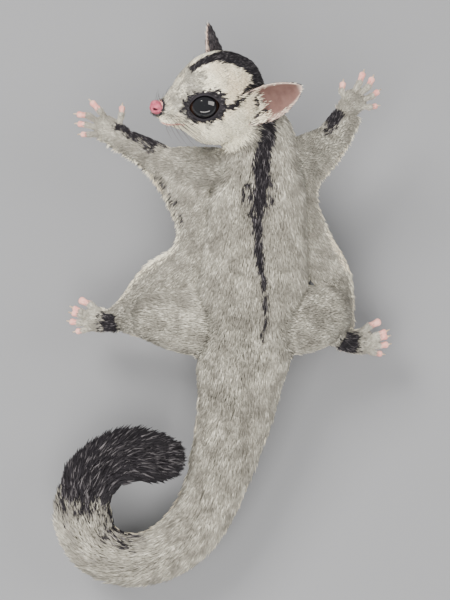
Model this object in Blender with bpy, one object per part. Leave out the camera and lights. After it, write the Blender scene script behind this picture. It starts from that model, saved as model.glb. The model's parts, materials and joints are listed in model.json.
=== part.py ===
"""A sugar glider in flight, life size, on a plain display stand.

Body frame used for the animal: X to its right, Y towards its head, Z out of its back, origin in the
middle of the trunk. The whole animal then hangs from one empty, which tips it nose up and lifts it over
the stand. Tables are in millimetres and are turned to metres as the shapes are made.
"""
import math
import random

import bmesh
import bpy
import numpy as np
from mathutils import Matrix, Vector
from mathutils.bvhtree import BVHTree

MM = 0.001
GAP = 0.3                       # space kept between pieces that touch
GLIDE_PITCH = math.radians(12)  # the glider flies with its nose a little up
TRUNK_HEIGHT = 50.0             # middle of the trunk over the floor
TRUNK_PLACE = (2.0, 0.0)        # where the middle of the trunk stands over the base
UP = Vector((0.0, 0.0, 1.0))

# Melting of the overlapping forms into one skin
VOXEL = 0.8
SOFTEN = 12
BODY_TRIANGLES = 2800
HEAD_TRIANGLES = 1900

# Forms of the flesh and its short coat: x, y, z, half width, height above, height below
TRUNK = [
    (2.0, 52.0, 1.5, 15.0, 13.5, 13.0),
    (2.0, 43.0, 1.0, 19.0, 16.0, 15.0),
    (1.5, 27.0, 0.5, 22.0, 18.0, 16.5),
    (0.5, 6.0, 0.0, 24.0, 19.0, 17.0),
    (-1.0, -14.0, 0.0, 25.5, 19.5, 17.0),
    (-3.0, -31.0, -0.5, 25.5, 18.5, 16.5),
    (-5.0, -45.0, -1.0, 22.5, 16.5, 15.0),
    (-6.6, -57.0, -1.0, 19.5, 15.2, 14.0),
]
TAIL = [
    (-6.0, -50.0, -1.0, 21.0, 15.8, 14.5),
    (-7.9, -67.5, -1.0, 18.0, 14.6, 13.6),
    (-11.3, -83.3, -1.0, 15.9, 13.8, 13.0),
    (-15.3, -97.7, -0.5, 14.4, 13.2, 12.6),
    (-21.2, -113.5, 0.0, 13.4, 12.9, 12.4),
    (-30.0, -127.0, 0.5, 13.0, 12.6, 12.2),
    (-43.0, -136.3, 1.0, 12.2, 12.2, 12.0),
    (-57.6, -138.6, 2.0, 11.9, 12.0, 11.6),
    (-70.3, -133.0, 3.5, 12.4, 12.0, 11.6),
    (-76.3, -121.5, 5.0, 12.8, 12.4, 12.0),
    (-75.2, -109.5, 6.5, 13.2, 12.8, 12.4),
    (-69.5, -99.5, 8.0, 13.3, 12.9, 12.5),
    (-59.5, -93.2, 9.5, 12.4, 12.2, 11.8),
    (-48.5, -92.2, 10.8, 10.4, 10.4, 10.0),
    (-42.0, -92.2, 11.6, 7.6, 7.6, 7.4),
]
NECK = [
    (2.0, 44.0, 1.0, 17.5, 15.5, 14.0),
    (0.0, 51.5, 3.0, 16.4, 15.0, 14.0),
    (-5.0, 57.5, 5.5, 16.0, 15.2, 14.4),
    (-10.5, 61.0, 9.0, 13.8, 13.8, 12.8),
    (-14.5, 63.0, 11.5, 11.0, 11.0, 10.0),
]
# The back of the head, which the neck's own piece takes in where the head ends
NAPE_BALL = ((-8.0, 1.0, -2.0), (14.5, 15.6, 15.6))
ARMS = {
    "left": {
        "upper_arm": [
            (-10.0, 35.0, 0.0, 11.0, 10.5, 10.5),
            (-20.0, 37.0, -3.0, 9.8, 9.0, 9.0),
            (-31.0, 39.4, -6.5, 8.0, 7.2, 7.2),
            (-40.0, 40.5, -9.0, 6.6, 6.0, 6.0),
        ],
        "forearm": [
            (-38.5, 40.0, -9.0, 6.6, 6.0, 6.0),
            (-45.0, 43.5, -8.5, 6.4, 5.6, 5.6),
            (-54.0, 48.6, -8.0, 5.2, 4.6, 4.6),
            (-61.0, 52.5, -8.0, 4.2, 3.5, 3.4),
            (-66.0, 55.0, -8.0, 4.6, 3.2, 3.0),
        ],
    },
    "right": {
        "upper_arm": [
            (10.0, 37.0, 0.0, 11.0, 10.5, 10.5),
            (20.0, 41.5, -3.0, 9.8, 8.8, 8.8),
            (28.5, 46.5, -6.5, 8.6, 7.4, 7.4),
            (34.0, 50.0, -8.8, 7.4, 6.4, 6.4),
        ],
        "forearm": [
            (32.0, 48.6, -9.0, 7.4, 6.2, 6.2),
            (36.0, 53.4, -8.8, 7.0, 5.8, 5.8),
            (39.0, 59.0, -8.0, 5.8, 4.8, 4.8),
            (41.6, 64.6, -7.5, 4.4, 3.5, 3.4),
            (44.5, 67.6, -7.5, 4.6, 3.2, 3.0),
        ],
    },
}
LEGS = {
    "left": {
        "thigh": [
            (-9.0, -31.0, -2.0, 17.0, 14.0, 13.0),
            (-23.0, -32.0, -2.0, 16.4, 13.0, 12.0),
            (-36.0, -31.2, -2.0, 14.4, 11.0, 10.5),
            (-47.0, -29.6, -3.0, 11.6, 8.8, 8.6),
        ],
        "shin": [
            (-44.0, -29.8, -3.0, 11.8, 9.0, 8.8),
            (-51.5, -31.0, -5.5, 9.2, 7.0, 7.0),
            (-58.0, -32.0, -9.5, 6.2, 5.0, 5.0),
            (-63.5, -32.2, -12.0, 4.7, 3.9, 3.8),
            (-69.0, -32.0, -13.0, 4.8, 3.4, 3.2),
        ],
    },
    "right": {
        "thigh": [
            (7.0, -31.0, -2.0, 17.0, 14.0, 13.0),
            (18.0, -31.0, -2.0, 16.6, 13.0, 12.0),
            (27.0, -29.6, -2.0, 15.2, 11.4, 10.8),
            (33.5, -27.0, -2.5, 12.4, 9.6, 9.4),
        ],
        "shin": [
            (31.5, -26.0, -3.0, 12.2, 9.4, 9.2),
            (34.5, -31.5, -6.5, 10.0, 7.6, 7.6),
            (36.6, -37.0, -10.5, 7.0, 5.4, 5.4),
            (40.0, -40.8, -13.0, 5.0, 3.9, 3.8),
            (45.0, -41.6, -14.0, 4.8, 3.4, 3.2),
        ],
    },
}

# Hands and feet: the palm or sole, then base, middle joint and tip of each digit, and its radius
HANDS = {
    "left": {
        "palm": [(-59.5, 51.8, -8.0, 4.1, 3.4, 3.3), (-64.0, 54.2, -8.2, 5.2, 3.2, 3.0),
                 (-68.5, 56.0, -8.6, 5.8, 2.9, 2.7), (-71.5, 56.8, -9.0, 4.6, 2.2, 2.0)],
        "digits": [((-62.0, 56.5), (-60.6, 61.8), (-60.4, 67.2), 1.5),
                   ((-66.5, 58.0), (-70.2, 63.4), (-75.4, 69.0), 1.55),
                   ((-69.5, 57.8), (-75.8, 61.4), (-82.2, 62.6), 1.55),
                   ((-70.5, 55.6), (-76.4, 57.2), (-81.8, 58.2), 1.5),
                   ((-69.5, 53.0), (-75.4, 52.8), (-80.4, 53.2), 1.4)],
        "clawless": None,
        "levels": (-8.4, -7.2, -10.0),
    },
    "right": {
        "palm": [(40.8, 63.2, -7.6, 4.2, 3.4, 3.3), (43.4, 66.3, -7.8, 5.0, 3.2, 3.0),
                 (45.8, 68.8, -8.2, 5.6, 2.9, 2.7), (47.4, 70.6, -8.6, 4.4, 2.2, 2.0)],
        "digits": [((41.8, 67.8), (39.6, 72.6), (40.6, 78.0), 1.5),
                   ((44.6, 70.4), (47.6, 76.2), (50.0, 82.4), 1.55),
                   ((46.8, 70.4), (51.6, 74.4), (54.4, 80.0), 1.55),
                   ((48.0, 68.4), (53.4, 70.2), (57.4, 73.6), 1.5),
                   ((47.6, 65.8), (52.6, 65.2), (57.0, 66.4), 1.4)],
        "clawless": None,
        "levels": (-8.0, -6.8, -9.6),
    },
}
FEET = {
    "left": {
        "palm": [(-63.5, -32.2, -12.2, 4.6, 3.8, 3.7), (-68.0, -32.0, -13.2, 5.0, 3.4, 3.2),
                 (-72.5, -31.5, -13.8, 5.6, 3.0, 2.8), (-76.5, -31.2, -14.2, 4.8, 2.3, 2.1)],
        "digits": [((-70.5, -29.0), (-75.2, -24.8), (-80.2, -22.4), 1.8),
                   ((-75.0, -29.6), (-79.6, -27.6), (-84.6, -25.6), 1.35),
                   ((-75.2, -31.0), (-80.0, -29.6), (-85.2, -28.2), 1.35),
                   ((-75.0, -33.2), (-80.6, -33.0), (-86.0, -32.2), 1.6),
                   ((-73.8, -35.0), (-78.4, -36.4), (-83.2, -37.2), 1.5)],
        "clawless": 0,
        "levels": (-14.0, -12.8, -15.4),
    },
    "right": {
        "palm": [(40.0, -40.6, -13.2, 4.8, 3.8, 3.7), (44.5, -41.4, -14.2, 5.2, 3.4, 3.2),
                 (49.0, -41.8, -14.8, 5.8, 3.0, 2.8), (53.0, -41.8, -15.2, 5.0, 2.3, 2.1)],
        "digits": [((47.2, -38.8), (52.4, -34.8), (57.8, -32.4), 1.8),
                   ((51.6, -40.0), (56.6, -38.4), (62.0, -36.4), 1.35),
                   ((51.8, -41.4), (56.8, -40.4), (62.6, -39.0), 1.35),
                   ((51.6, -43.6), (57.2, -43.6), (62.8, -42.8), 1.6),
                   ((50.2, -45.4), (55.0, -46.8), (60.0, -47.6), 1.5)],
        "clawless": 0,
        "levels": (-15.0, -13.8, -16.4),
    },
}
CLAW_LENGTH = 2.6
CLAW_RADIUS = 0.62

# Gliding membranes: pairs of a point inside the flank or limb and a point on the free edge
MEMBRANES = {
    "left": [
        ((-61.5, 52.0, -8.0), (-69.5, 50.6, -9.0)),
        ((-52.0, 46.0, -8.0), (-60.0, 44.6, -8.5)),
        ((-42.0, 39.5, -8.5), (-51.5, 38.8, -8.0)),
        ((-30.0, 35.0, -5.0), (-44.6, 31.0, -6.0)),
        ((-19.0, 24.0, -1.5), (-39.0, 21.0, -3.5)),
        ((-19.0, 12.0, -1.5), (-35.2, 11.5, -2.2)),
        ((-19.0, 1.0, -1.5), (-36.0, 3.0, -2.0)),
        ((-21.0, -10.0, -1.5), (-41.5, -1.6, -3.0)),
        ((-31.0, -21.0, -2.0), (-48.8, -6.0, -5.0)),
        ((-44.0, -26.0, -3.5), (-55.2, -13.5, -8.0)),
        ((-55.0, -30.0, -8.0), (-61.0, -21.5, -11.0)),
        ((-64.0, -32.2, -12.2), (-67.5, -27.6, -13.2)),
    ],
    "right": [
        ((41.6, 64.0, -7.6), (48.2, 60.4, -8.6)),
        ((38.6, 56.0, -8.2), (44.6, 53.4, -8.6)),
        ((35.0, 48.0, -9.0), (41.0, 46.4, -9.0)),
        ((27.0, 43.0, -6.0), (35.4, 38.6, -7.5)),
        ((20.0, 34.0, -2.5), (29.6, 31.6, -5.0)),
        ((19.0, 23.0, -1.5), (27.8, 23.6, -3.0)),
        ((19.0, 12.0, -1.5), (30.6, 14.6, -2.2)),
        ((20.0, 2.0, -1.5), (34.8, 5.4, -2.2)),
        ((22.0, -9.0, -1.5), (39.8, -2.6, -3.6)),
        ((29.0, -17.0, -2.0), (43.6, -11.4, -6.0)),
        ((34.0, -26.0, -6.0), (45.0, -22.6, -9.6)),
        ((38.5, -37.0, -12.0), (45.6, -34.6, -13.8)),
    ],
}
MEMBRANE_ROOT = 2.2             # half thickness at the flank
MEMBRANE_EDGE = 0.8             # half thickness at the free edge
MEMBRANE_BILLOW = 1.6           # how far the air lifts it between flank and edge

# Head frame: X to the nose, Y to its left, Z out of the crown, origin inside the brain case
HEAD_PLACE = (-18.5, 64.6, 13.5)
NOSE_WAY = (-0.880, -0.034, 0.473)
LEFT_WAY = (0.394, -0.603, 0.694)
# x, height of the widest level, half width, height above, height below
SKULL = [
    (-22.5, 0.0, 7.0, 6.5, 6.0),
    (-19.5, 0.0, 12.0, 12.6, 11.0),
    (-14.5, 0.0, 15.8, 19.6, 15.4),
    (-8.0, 0.0, 17.4, 22.6, 18.0),
    (-1.0, 0.0, 17.4, 23.8, 19.0),
    (6.0, -0.3, 15.6, 22.4, 18.0),
    (12.0, -1.3, 12.0, 17.6, 14.8),
    (17.0, -2.6, 8.4, 11.0, 10.6),
    (21.0, -3.6, 6.0, 6.2, 7.4),
    (24.8, -4.2, 4.4, 3.8, 4.8),
    (27.2, -4.4, 3.0, 2.6, 3.4),
]
CHEEK = ((1.0, 10.8, -6.0), (9.0, 7.2, 8.0))
WHISKER_PAD = ((20.6, 3.5, -6.8), (5.6, 3.4, 3.3))
JAW = [
    (2.0, -10.5, 9.2, 5.0, 5.2),
    (10.0, -10.2, 7.0, 4.0, 3.9),
    (16.5, -9.8, 4.6, 2.8, 2.7),
    (21.2, -9.2, 3.0, 1.9, 1.9),
]
EYE_PLACE = (9.0, 8.1, 3.0)
EYE_RADIUS = 6.8
EYE_WAY = (0.43, 0.86, 0.27)
ORBIT_WALL = 1.1                # flesh round the eyeball
LID_LONG = 6.2                  # half length of the lid's edge, along the face
LID_SHORT = 5.45                # half height of the lid's edge
LID_CORNER = 0.7                # how much further its corners reach
LID_THICK = 0.8
LID_OUT = 3.4                   # how far out along the eye's axis the lids lie
LID_OPEN = 0.35                 # how far inside the lid's edge the opening runs
LID_POINTS = 16
OPENING = (0.5, 14.0)           # from where to where along the eye's axis it is cut
NOSE_PAD = ((27.2, 0.0, -3.4), (2.9, 3.5, 2.9))
NOSTRIL = ((29.3, 1.65, -3.3), (1.6, 0.66, 0.85))
MOUTH_MIDDLE = 14.5             # how far forward the middle of the mouth's curve is
MOUTH_TURN = math.radians(88)  # how far round to each side the mouth reaches
MOUTH_LEVEL = -8.6
MOUTH_RISE = 0.8                # how much higher its corners lie
MOUTH_POINTS = 15
MOUTH_FAR = 30.0                # from outside the head the skin is looked for
LIP_RADIUS = 0.7
LIP_SUNK = 0.2                  # how deep in the skin the middle of the lips lies
MOUTH_CUT = 0.45                # radius of the groove between the lips
MOUTH_OUT = 0.6                 # how far out on the lips that groove lies
EAR_ROOT = (-10.5, 13.6, 6.3)
EAR_LENGTH = 24.5
EAR_HALF_WIDTH = 8.4
EAR_WIDEST = 0.30               # where along its length the ear is widest
EAR_SUNK = 0.15                 # how much of its length starts inside the head
EAR_POINTED = 0.78              # how pointed its tip is, where 0.5 is round
EAR_CUP = 6.2
EAR_BEND = 1.4                  # how far back its tip leans
EAR_THICK = 1.0
EARS = {
    "left": {"along": (-0.58, 0.48, 0.66), "opens": (0.50, 0.86, 0.00)},
    "right": {"along": (0.46, -0.45, 0.77), "opens": (0.63, -0.44, -0.64)},
}

# Thin cuts that part the body: middle, direction across the cut, half size
BODY_CUTS = [
    ((-2.5, 52.2, 3.0), (-0.12, 0.96, 0.2), 21.0),
    ((-26.6, 38.4, -4.0), (-1.0, -0.1, -0.3), 13.0),
    ((-39.4, 40.3, -9.0), (-0.95, 0.30, -0.05), 10.0),
    ((26.4, 45.2, -5.5), (0.85, 0.45, -0.35), 12.5),
    ((34.0, 51.0, -8.8), (0.66, 0.75, 0.0), 10.5),
    ((-30.6, -31.5, -2.0), (-1.0, 0.06, 0.0), 21.0),
    ((-46.6, -29.6, -3.5), (-1.0, -0.08, -0.18), 15.0),
    ((28.4, -29.0, -2.0), (1.0, 0.25, 0.0), 20.0),
    ((35.4, -33.0, -8.0), (0.35, -0.80, -0.50), 13.0),
]
WRISTS = {
    "left": ((-61.0, 52.4, -8.0), (-0.90, 0.44, 0.0)),
    "right": ((41.5, 64.4, -7.5), (0.50, 0.87, 0.0)),
}
ANKLES = {
    "left": ((-64.2, -32.2, -12.4), (-0.98, 0.03, -0.20)),
    "right": ((40.8, -40.9, -13.3), (0.95, -0.20, -0.20)),
}
JOINT_REACH = 9.0               # half size of the cut that ends a limb at a wrist or an ankle
PAW_REACH = 12.0                # half size of the cut that ends a hand or a foot there
NECK_CUT = ((-7.5, 60.5, 5.5), (-0.68, 0.70, 0.24))
NECK_REACH = 22.0               # half size of the cut that ends the neck, short of the arm
HEAD_REACH = 60.0               # half size of the cut that ends the head
# First and last row of the tail's table for each of its lengths; the body ends at the first of them
TAIL_PIECES = {"tail_1": (1, 3), "tail_2": (3, 5), "tail_3": (5, 7), "tail_4": (7, 9), "tail_5": (9, 14)}
TAIL_STEPS = 3
TAIL_SIDES = 16
TAIL_REACH = 40.0               # half size of the cut that ends the trunk at the tail
# The dark end of the tail: a core with long flat locks over it, the last of them past the core's tip
BRUSH = "tail_5"
BRUSH_SIDES = 10
BRUSH_REACH = 18.0              # half size of the cut that ends it at the grey part
CORE_SHARE = 0.50               # of the tail's half width
SHOULDER = 15.0                 # over which the tail thins to that core
LOCK_SEED = 11
LOCKS_ROUND = 6
LOCK_STATIONS = 3
LOCK_SPACING = 8.3              # from one ring of locks to the next
LOCK_LENGTH = 20.0
LOCK_WIDTH = 10.0
LOCK_THICK = 2.0
LOCK_ROOT = 0.34                # where a lock's root lies, in half widths of the tail
LOCK_REACH = 1.12               # where its tip lies
LOCK_BEND = 1.7                 # how soon it turns to lie along the tail
LOCK_VARY = 0.15                # how much lengths and widths differ, as a share
LOCK_SWAY = 0.16                # how far a lock drifts round the tail, in radians
HAIR_PAST_TIP = 9.0
HAIR_TIP_SHARE = 0.62

# A point inside each piece that the cuts leave, by which it gets its name
BODY_SEEDS = {
    "torso": (0.0, 0.0, 0.0),
    "neck": (-2.0, 56.0, 4.5),
    "upper_arm_left": (-32.0, 40.0, -6.0),
    "forearm_left": (-50.0, 46.0, -8.0),
    "upper_arm_right": (30.0, 47.0, -6.5),
    "forearm_right": (38.0, 58.0, -8.0),
    "thigh_left": (-38.0, -29.0, -2.0),
    "shin_left": (-54.0, -30.5, -7.0),
    "thigh_right": (34.0, -26.0, -3.0),
    "shin_right": (38.0, -38.0, -11.0),
}

# The stand
BASE_LENGTH = 90.0
BASE_WIDTH = 60.0
BASE_THICK = 5.0
BASE_EDGE = 1.0
ROD_RADIUS = 2.6
ROD_PLACE = (0.0, 0.0)
COLLAR_RADIUS = 5.0
COLLAR_HEIGHT = 3.0

# name: colour, roughness, metallic
FINISHES = {
    "grey_fur": ((0.42, 0.41, 0.38), 0.90, 0.0),
    "dark_fur": ((0.055, 0.052, 0.058), 0.88, 0.0),
    "bare_skin": ((0.78, 0.47, 0.44), 0.55, 0.0),
    "ear_skin": ((0.55, 0.40, 0.38), 0.60, 0.0),
    "nose_skin": ((0.80, 0.36, 0.42), 0.35, 0.0),
    "eye_gloss": ((0.012, 0.010, 0.012), 0.06, 0.0),
    "stand_paint": ((0.030, 0.031, 0.034), 0.50, 0.0),
    "stand_steel": ((0.60, 0.60, 0.60), 0.30, 1.0),
}
# The finish of each node, by how its name starts
FINISH_OF = {
    "hand": "bare_skin", "foot": "bare_skin", "ear": "ear_skin", "nose": "nose_skin", "eye": "eye_gloss",
    BRUSH: "dark_fur", "stand_base": "stand_paint", "stand_rod": "stand_steel",
    "": "grey_fur",
}
SHARP_ANGLE = math.radians(50)


def clear_scene():
    for thing in list(bpy.data.objects):
        bpy.data.objects.remove(thing)


def finish_of(name):
    material = bpy.data.materials.get(name)
    if material is None:
        colour, roughness, metallic = FINISHES[name]
        material = bpy.data.materials.new(name)
        material.use_nodes = True
        shader = material.node_tree.nodes["Principled BSDF"]
        shader.inputs["Base Color"].default_value = (*colour, 1.0)
        shader.inputs["Roughness"].default_value = roughness
        shader.inputs["Metallic"].default_value = metallic
        material.diffuse_color = (*colour, 1.0)
    return material


def unit(way):
    return Vector(way).normalized()


def new_object(name, points, faces):
    """A mesh object from points in millimetres, with its faces turned outwards."""
    mesh = bpy.data.meshes.new(name)
    mesh.from_pydata([tuple(MM * value for value in point) for point in points], [], faces)
    work = bmesh.new()
    work.from_mesh(mesh)
    bmesh.ops.recalc_face_normals(work, faces=work.faces)
    work.to_mesh(mesh)
    work.free()
    thing = bpy.data.objects.new(name, mesh)
    bpy.context.scene.collection.objects.link(thing)
    return thing


def applied(thing):
    """The same object with its modifiers applied."""
    bpy.context.view_layer.update()
    graph = bpy.context.evaluated_depsgraph_get()
    mesh = bpy.data.meshes.new_from_object(thing.evaluated_get(graph))
    thing.modifiers.clear()
    thing.data = mesh
    return thing


def directions(path):
    """The way that a line of points runs at each of its points."""
    along = np.gradient(path, axis=0)
    return along / np.linalg.norm(along, axis=1)[:, None]


def smooth_rows(rows, per_span):
    """A smooth run through the rows of a table, with per_span steps from each row to the next."""
    rows = np.array(rows, float)
    ends = np.vstack([2 * rows[0] - rows[1], rows, 2 * rows[-1] - rows[-2]])
    steps = np.arange(per_span)[:, None] / per_span
    runs = []
    for a, b, c, d in zip(ends, ends[1:], ends[2:], ends[3:]):
        runs.append(0.5 * (2 * b + (c - a) * steps + (2 * a - 5 * b + 4 * c - d) * steps**2
                           + (3 * b - a - 3 * c + d) * steps**3))
    return np.vstack([*runs, rows[-1:]])


def tube(name, rows, sides=20, per_span=4, round_start=1.0, round_end=1.0, cap_rings=3, along=None):
    """A closed form through rows of x, y, z, half width, height above and height below."""
    rows = smooth_rows(rows, per_span) if per_span > 1 else np.array(rows, float)
    path = rows[:, :3]
    along = directions(path) if along is None else along
    across = np.cross(along, UP)
    across /= np.linalg.norm(across, axis=1)[:, None]
    rise = np.cross(across, along)
    turn = 2 * math.pi * np.arange(sides) / sides
    high = np.sin(turn) > 0

    def ring(i, shift, scale):
        width, above, below = rows[i, 3:6] * scale
        tall = np.where(high, above, below) * np.sin(turn)
        middle = path[i] + shift * along[i]
        return middle + np.outer(width * np.cos(turn), across[i]) + np.outer(tall, rise[i])

    def cap(i, way, roundness):
        reach = roundness * min(rows[i, 3:6])
        leans = [0.5 * math.pi * k / (cap_rings + 1) for k in range(1, cap_rings + 1)]
        rounds = [ring(i, way * reach * math.sin(lean), math.cos(lean)) for lean in leans]
        return rounds, path[i] + way * reach * along[i]

    rings = [ring(i, 0.0, 1.0) for i in range(len(rows))]
    poles = []
    if round_start:
        extra, pole = cap(0, -1.0, round_start)
        rings = extra[::-1] + rings
        poles.append((0, pole))
    if round_end:
        extra, pole = cap(len(rows) - 1, 1.0, round_end)
        rings = rings + extra
        poles.append((len(rings) - 1, pole))
    points = [tuple(point) for one in rings for point in one]
    faces = []
    for r in range(len(rings) - 1):
        for s in range(sides):
            t = (s + 1) % sides
            faces.append((r * sides + s, r * sides + t, (r + 1) * sides + t, (r + 1) * sides + s))
    if not round_start:
        faces.append(tuple(range(sides)))
    if not round_end:
        faces.append(tuple((len(rings) - 1) * sides + s for s in range(sides)))
    for r, pole in poles:
        points.append(tuple(pole))
        faces.extend((r * sides + s, r * sides + (s + 1) % sides, len(points) - 1) for s in range(sides))
    return new_object(name, points, faces)


def ball(name, middle, radii, sides=18, rings=11):
    """An ellipsoid with its axes along the frame."""
    points = [(middle[0], middle[1], middle[2] - radii[2])]
    for r in range(1, rings):
        lean = math.pi * r / rings
        for s in range(sides):
            turn = 2 * math.pi * s / sides
            points.append((middle[0] + radii[0] * math.sin(lean) * math.cos(turn),
                           middle[1] + radii[1] * math.sin(lean) * math.sin(turn),
                           middle[2] - radii[2] * math.cos(lean)))
    points.append((middle[0], middle[1], middle[2] + radii[2]))
    faces = []
    for r in range(rings - 2):
        for s in range(sides):
            t = (s + 1) % sides
            first = 1 + r * sides
            faces.append((first + s, first + t, first + sides + t, first + sides + s))
    last = len(points) - 1
    for s in range(sides):
        t = (s + 1) % sides
        faces.append((0, 1 + s, 1 + t))
        faces.append((last, last - sides + s, last - sides + t))
    return new_object(name, points, faces)


def slab(name, middle, way, reach, thick=GAP):
    """A thin square plate that parts what it crosses."""
    bpy.ops.mesh.primitive_cube_add(size=1.0)
    thing = bpy.context.object
    thing.name = name
    size = Matrix.Diagonal((2 * reach * MM, 2 * reach * MM, thick * MM, 1.0))
    turn = unit(way).to_track_quat("Z", "Y").to_matrix().to_4x4()
    thing.data.transform(Matrix.Translation(Vector(middle) * MM) @ turn @ size)
    return thing


def block_beyond(name, middle, way, reach, depth=60.0):
    """A block whose near face is the plane through middle, and which fills what lies beyond it."""
    beyond = Vector(middle) + unit(way) * (depth / 2)
    return slab(name, beyond, way, reach, thick=depth)


def joined(name, things):
    """Several mesh objects as one object, not yet one body."""
    work = bmesh.new()
    for thing in things:
        work.from_mesh(thing.data)
        bpy.data.objects.remove(thing)
    mesh = bpy.data.meshes.new(name)
    work.to_mesh(mesh)
    work.free()
    whole = bpy.data.objects.new(name, mesh)
    bpy.context.scene.collection.objects.link(whole)
    return whole


def melted(name, things, triangles):
    """One soft skin over overlapping closed forms, with about that many triangles."""
    whole = joined(name, things)
    skin = whole.modifiers.new("melt", "REMESH")
    skin.mode = "VOXEL"
    skin.voxel_size = VOXEL * MM
    soft = whole.modifiers.new("soften", "SMOOTH")
    soft.factor = 0.5
    soft.iterations = SOFTEN
    applied(whole)
    thin = whole.modifiers.new("thin", "DECIMATE")
    thin.ratio = triangles / (2 * len(whole.data.polygons))
    thin.use_collapse_triangulate = True
    return applied(whole)


def boolean(thing, operation, others, solver="EXACT"):
    """The object cut by, or joined with, the others, which are removed."""
    group = bpy.data.collections.new("tools")
    bpy.context.scene.collection.children.link(group)
    for other in others:
        group.objects.link(other)
    change = thing.modifiers.new("change", "BOOLEAN")
    change.operation = operation
    change.operand_type = "COLLECTION"
    change.collection = group
    change.solver = solver
    applied(thing)
    for other in others:
        bpy.data.objects.remove(other)
    bpy.data.collections.remove(group)
    return thing


def copy_of(thing, name):
    twin = bpy.data.objects.new(name, thing.data.copy())
    bpy.context.scene.collection.objects.link(twin)
    return twin


def swollen(thing, name, by=GAP):
    """A copy of the object, grown by a gap, to cut its neighbours with."""
    twin = copy_of(thing, name)
    grow = twin.modifiers.new("grow", "DISPLACE")
    grow.mid_level = 0.0
    grow.strength = by * MM
    return applied(twin)


def closed_parts(thing):
    """The separate closed surfaces of an object, each as a list of face lists and points."""
    work = bmesh.new()
    work.from_mesh(thing.data)
    left = set(work.faces)
    parts = []
    while left:
        reached = [left.pop()]
        for face in reached:
            for edge in face.edges:
                for other in edge.link_faces:
                    if other in left:
                        left.remove(other)
                        reached.append(other)
        place = {}
        for face in reached:
            for corner in face.verts:
                place.setdefault(corner, len(place))
        points = [tuple(value / MM for value in corner.co) for corner in place]
        parts.append((points, [tuple(place[corner] for corner in face.verts) for face in reached]))
    work.free()
    return parts


def largest_part(thing):
    """The object with only its largest closed surface kept."""
    points, faces = max(closed_parts(thing), key=lambda part: np.prod(np.ptp(np.array(part[0]), axis=0)))
    name = thing.name
    bpy.data.objects.remove(thing)
    return new_object(name, points, faces)


def parted(thing, seeds):
    """The separate pieces of an object, named by the nearest seed. Scraps without a seed are dropped."""
    found = {}
    parts = closed_parts(thing)
    if len(parts) < len(seeds):
        raise RuntimeError(f"the cuts leave {len(parts)} pieces for {len(seeds)} names")
    for name, seed in seeds.items():
        far = [np.linalg.norm(np.mean(points, axis=0) - np.array(seed)) for points, _ in parts]
        points, faces = parts.pop(int(np.argmin(far)))
        found[name] = new_object(name, points, faces)
    bpy.data.objects.remove(thing)
    return found


def head_frame():
    nose, left = unit(NOSE_WAY), unit(LEFT_WAY)
    left = (left - nose * left.dot(nose)).normalized()
    crown = nose.cross(left)
    turn = Matrix((nose, left, crown)).transposed().to_4x4()
    return Matrix.Translation(Vector(HEAD_PLACE) * MM) @ turn


def on_head(thing):
    thing.data.transform(head_frame())
    return thing


def mirror_y(place, side):
    return (place[0], place[1] * side, place[2])


def long_form(name, rows, sides=24):
    """A form along the head's length, from rows of x, level, half width, height above and below."""
    return on_head(tube(name, [(x, 0.0, level, w, a, b) for x, level, w, a, b in rows], sides=sides))


def head_forms():
    forms = [long_form("skull", SKULL), long_form("jaw", JAW)]
    for side in (1, -1):
        forms.append(on_head(ball("orbit", mirror_y(EYE_PLACE, side), (EYE_RADIUS + ORBIT_WALL,) * 3)))
        forms.append(on_head(ball("cheek", mirror_y(CHEEK[0], side), CHEEK[1])))
        forms.append(on_head(ball("whisker_pad", mirror_y(WHISKER_PAD[0], side), WHISKER_PAD[1])))
    forms.append(tube("nape", NECK, sides=28))
    return forms


def body_forms():
    forms = [tube("trunk", TRUNK, sides=28), tube("rump", TAIL[:4], sides=28), tube("neck", NECK, sides=28)]
    forms.append(on_head(ball("nape_ball", *NAPE_BALL)))
    for limbs in (ARMS, LEGS):
        for pieces in limbs.values():
            forms.extend(tube("limb", rows) for rows in pieces.values())
    return forms


def eye_turn(side):
    """Axes of one eye: out of the face, along the lid opening, and across it."""
    out = unit(mirror_y(EYE_WAY, side))
    along = (Vector((1.0, 0.0, -0.25)) - out * out.x).normalized()
    across = out.cross(along).normalized()
    along = across.cross(out).normalized()
    return out, along, across


def ring_tube(name, centre_line, radius, sides=8, closed=True):
    """A round tube along a line of points, closed on itself or with flat ends."""
    line = [Vector(point) for point in centre_line]
    count = len(line)
    points, faces = [], []
    for i, here in enumerate(line):
        before = line[(i - 1) % count] if closed else line[max(i - 1, 0)]
        after = line[(i + 1) % count] if closed else line[min(i + 1, count - 1)]
        along = (after - before).normalized()
        across = along.orthogonal() if i == 0 else across - along * across.dot(along)
        across.normalize()
        over = along.cross(across)
        for s in range(sides):
            turn = 2 * math.pi * s / sides
            points.append(here + radius * (math.cos(turn) * across + math.sin(turn) * over))
    for r in range(count if closed else count - 1):
        for s in range(sides):
            t = (s + 1) % sides
            n = (r + 1) % count
            faces.append((r * sides + s, r * sides + t, n * sides + t, n * sides + s))
    if not closed:
        faces.append(tuple(range(sides)))
        faces.append(tuple((count - 1) * sides + s for s in range(sides)))
    return new_object(name, points, faces)


def lid_edge(side, inset, out_by):
    """Points round the edge of the lids, moved in across the opening and out along the eye's axis."""
    out, along, across = eye_turn(side)
    middle = Vector(mirror_y(EYE_PLACE, side)) + out * out_by
    line = []
    for k in range(LID_POINTS):
        turn = 2 * math.pi * k / LID_POINTS
        long = LID_LONG + LID_CORNER * abs(math.cos(turn)) ** 7 - inset
        line.append(middle + along * (long * math.cos(turn)) + across * ((LID_SHORT - inset) * math.sin(turn)))
    return line


def lids(side):
    return on_head(ring_tube("lids", lid_edge(side, 0.0, LID_OUT), LID_THICK, sides=6))


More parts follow.
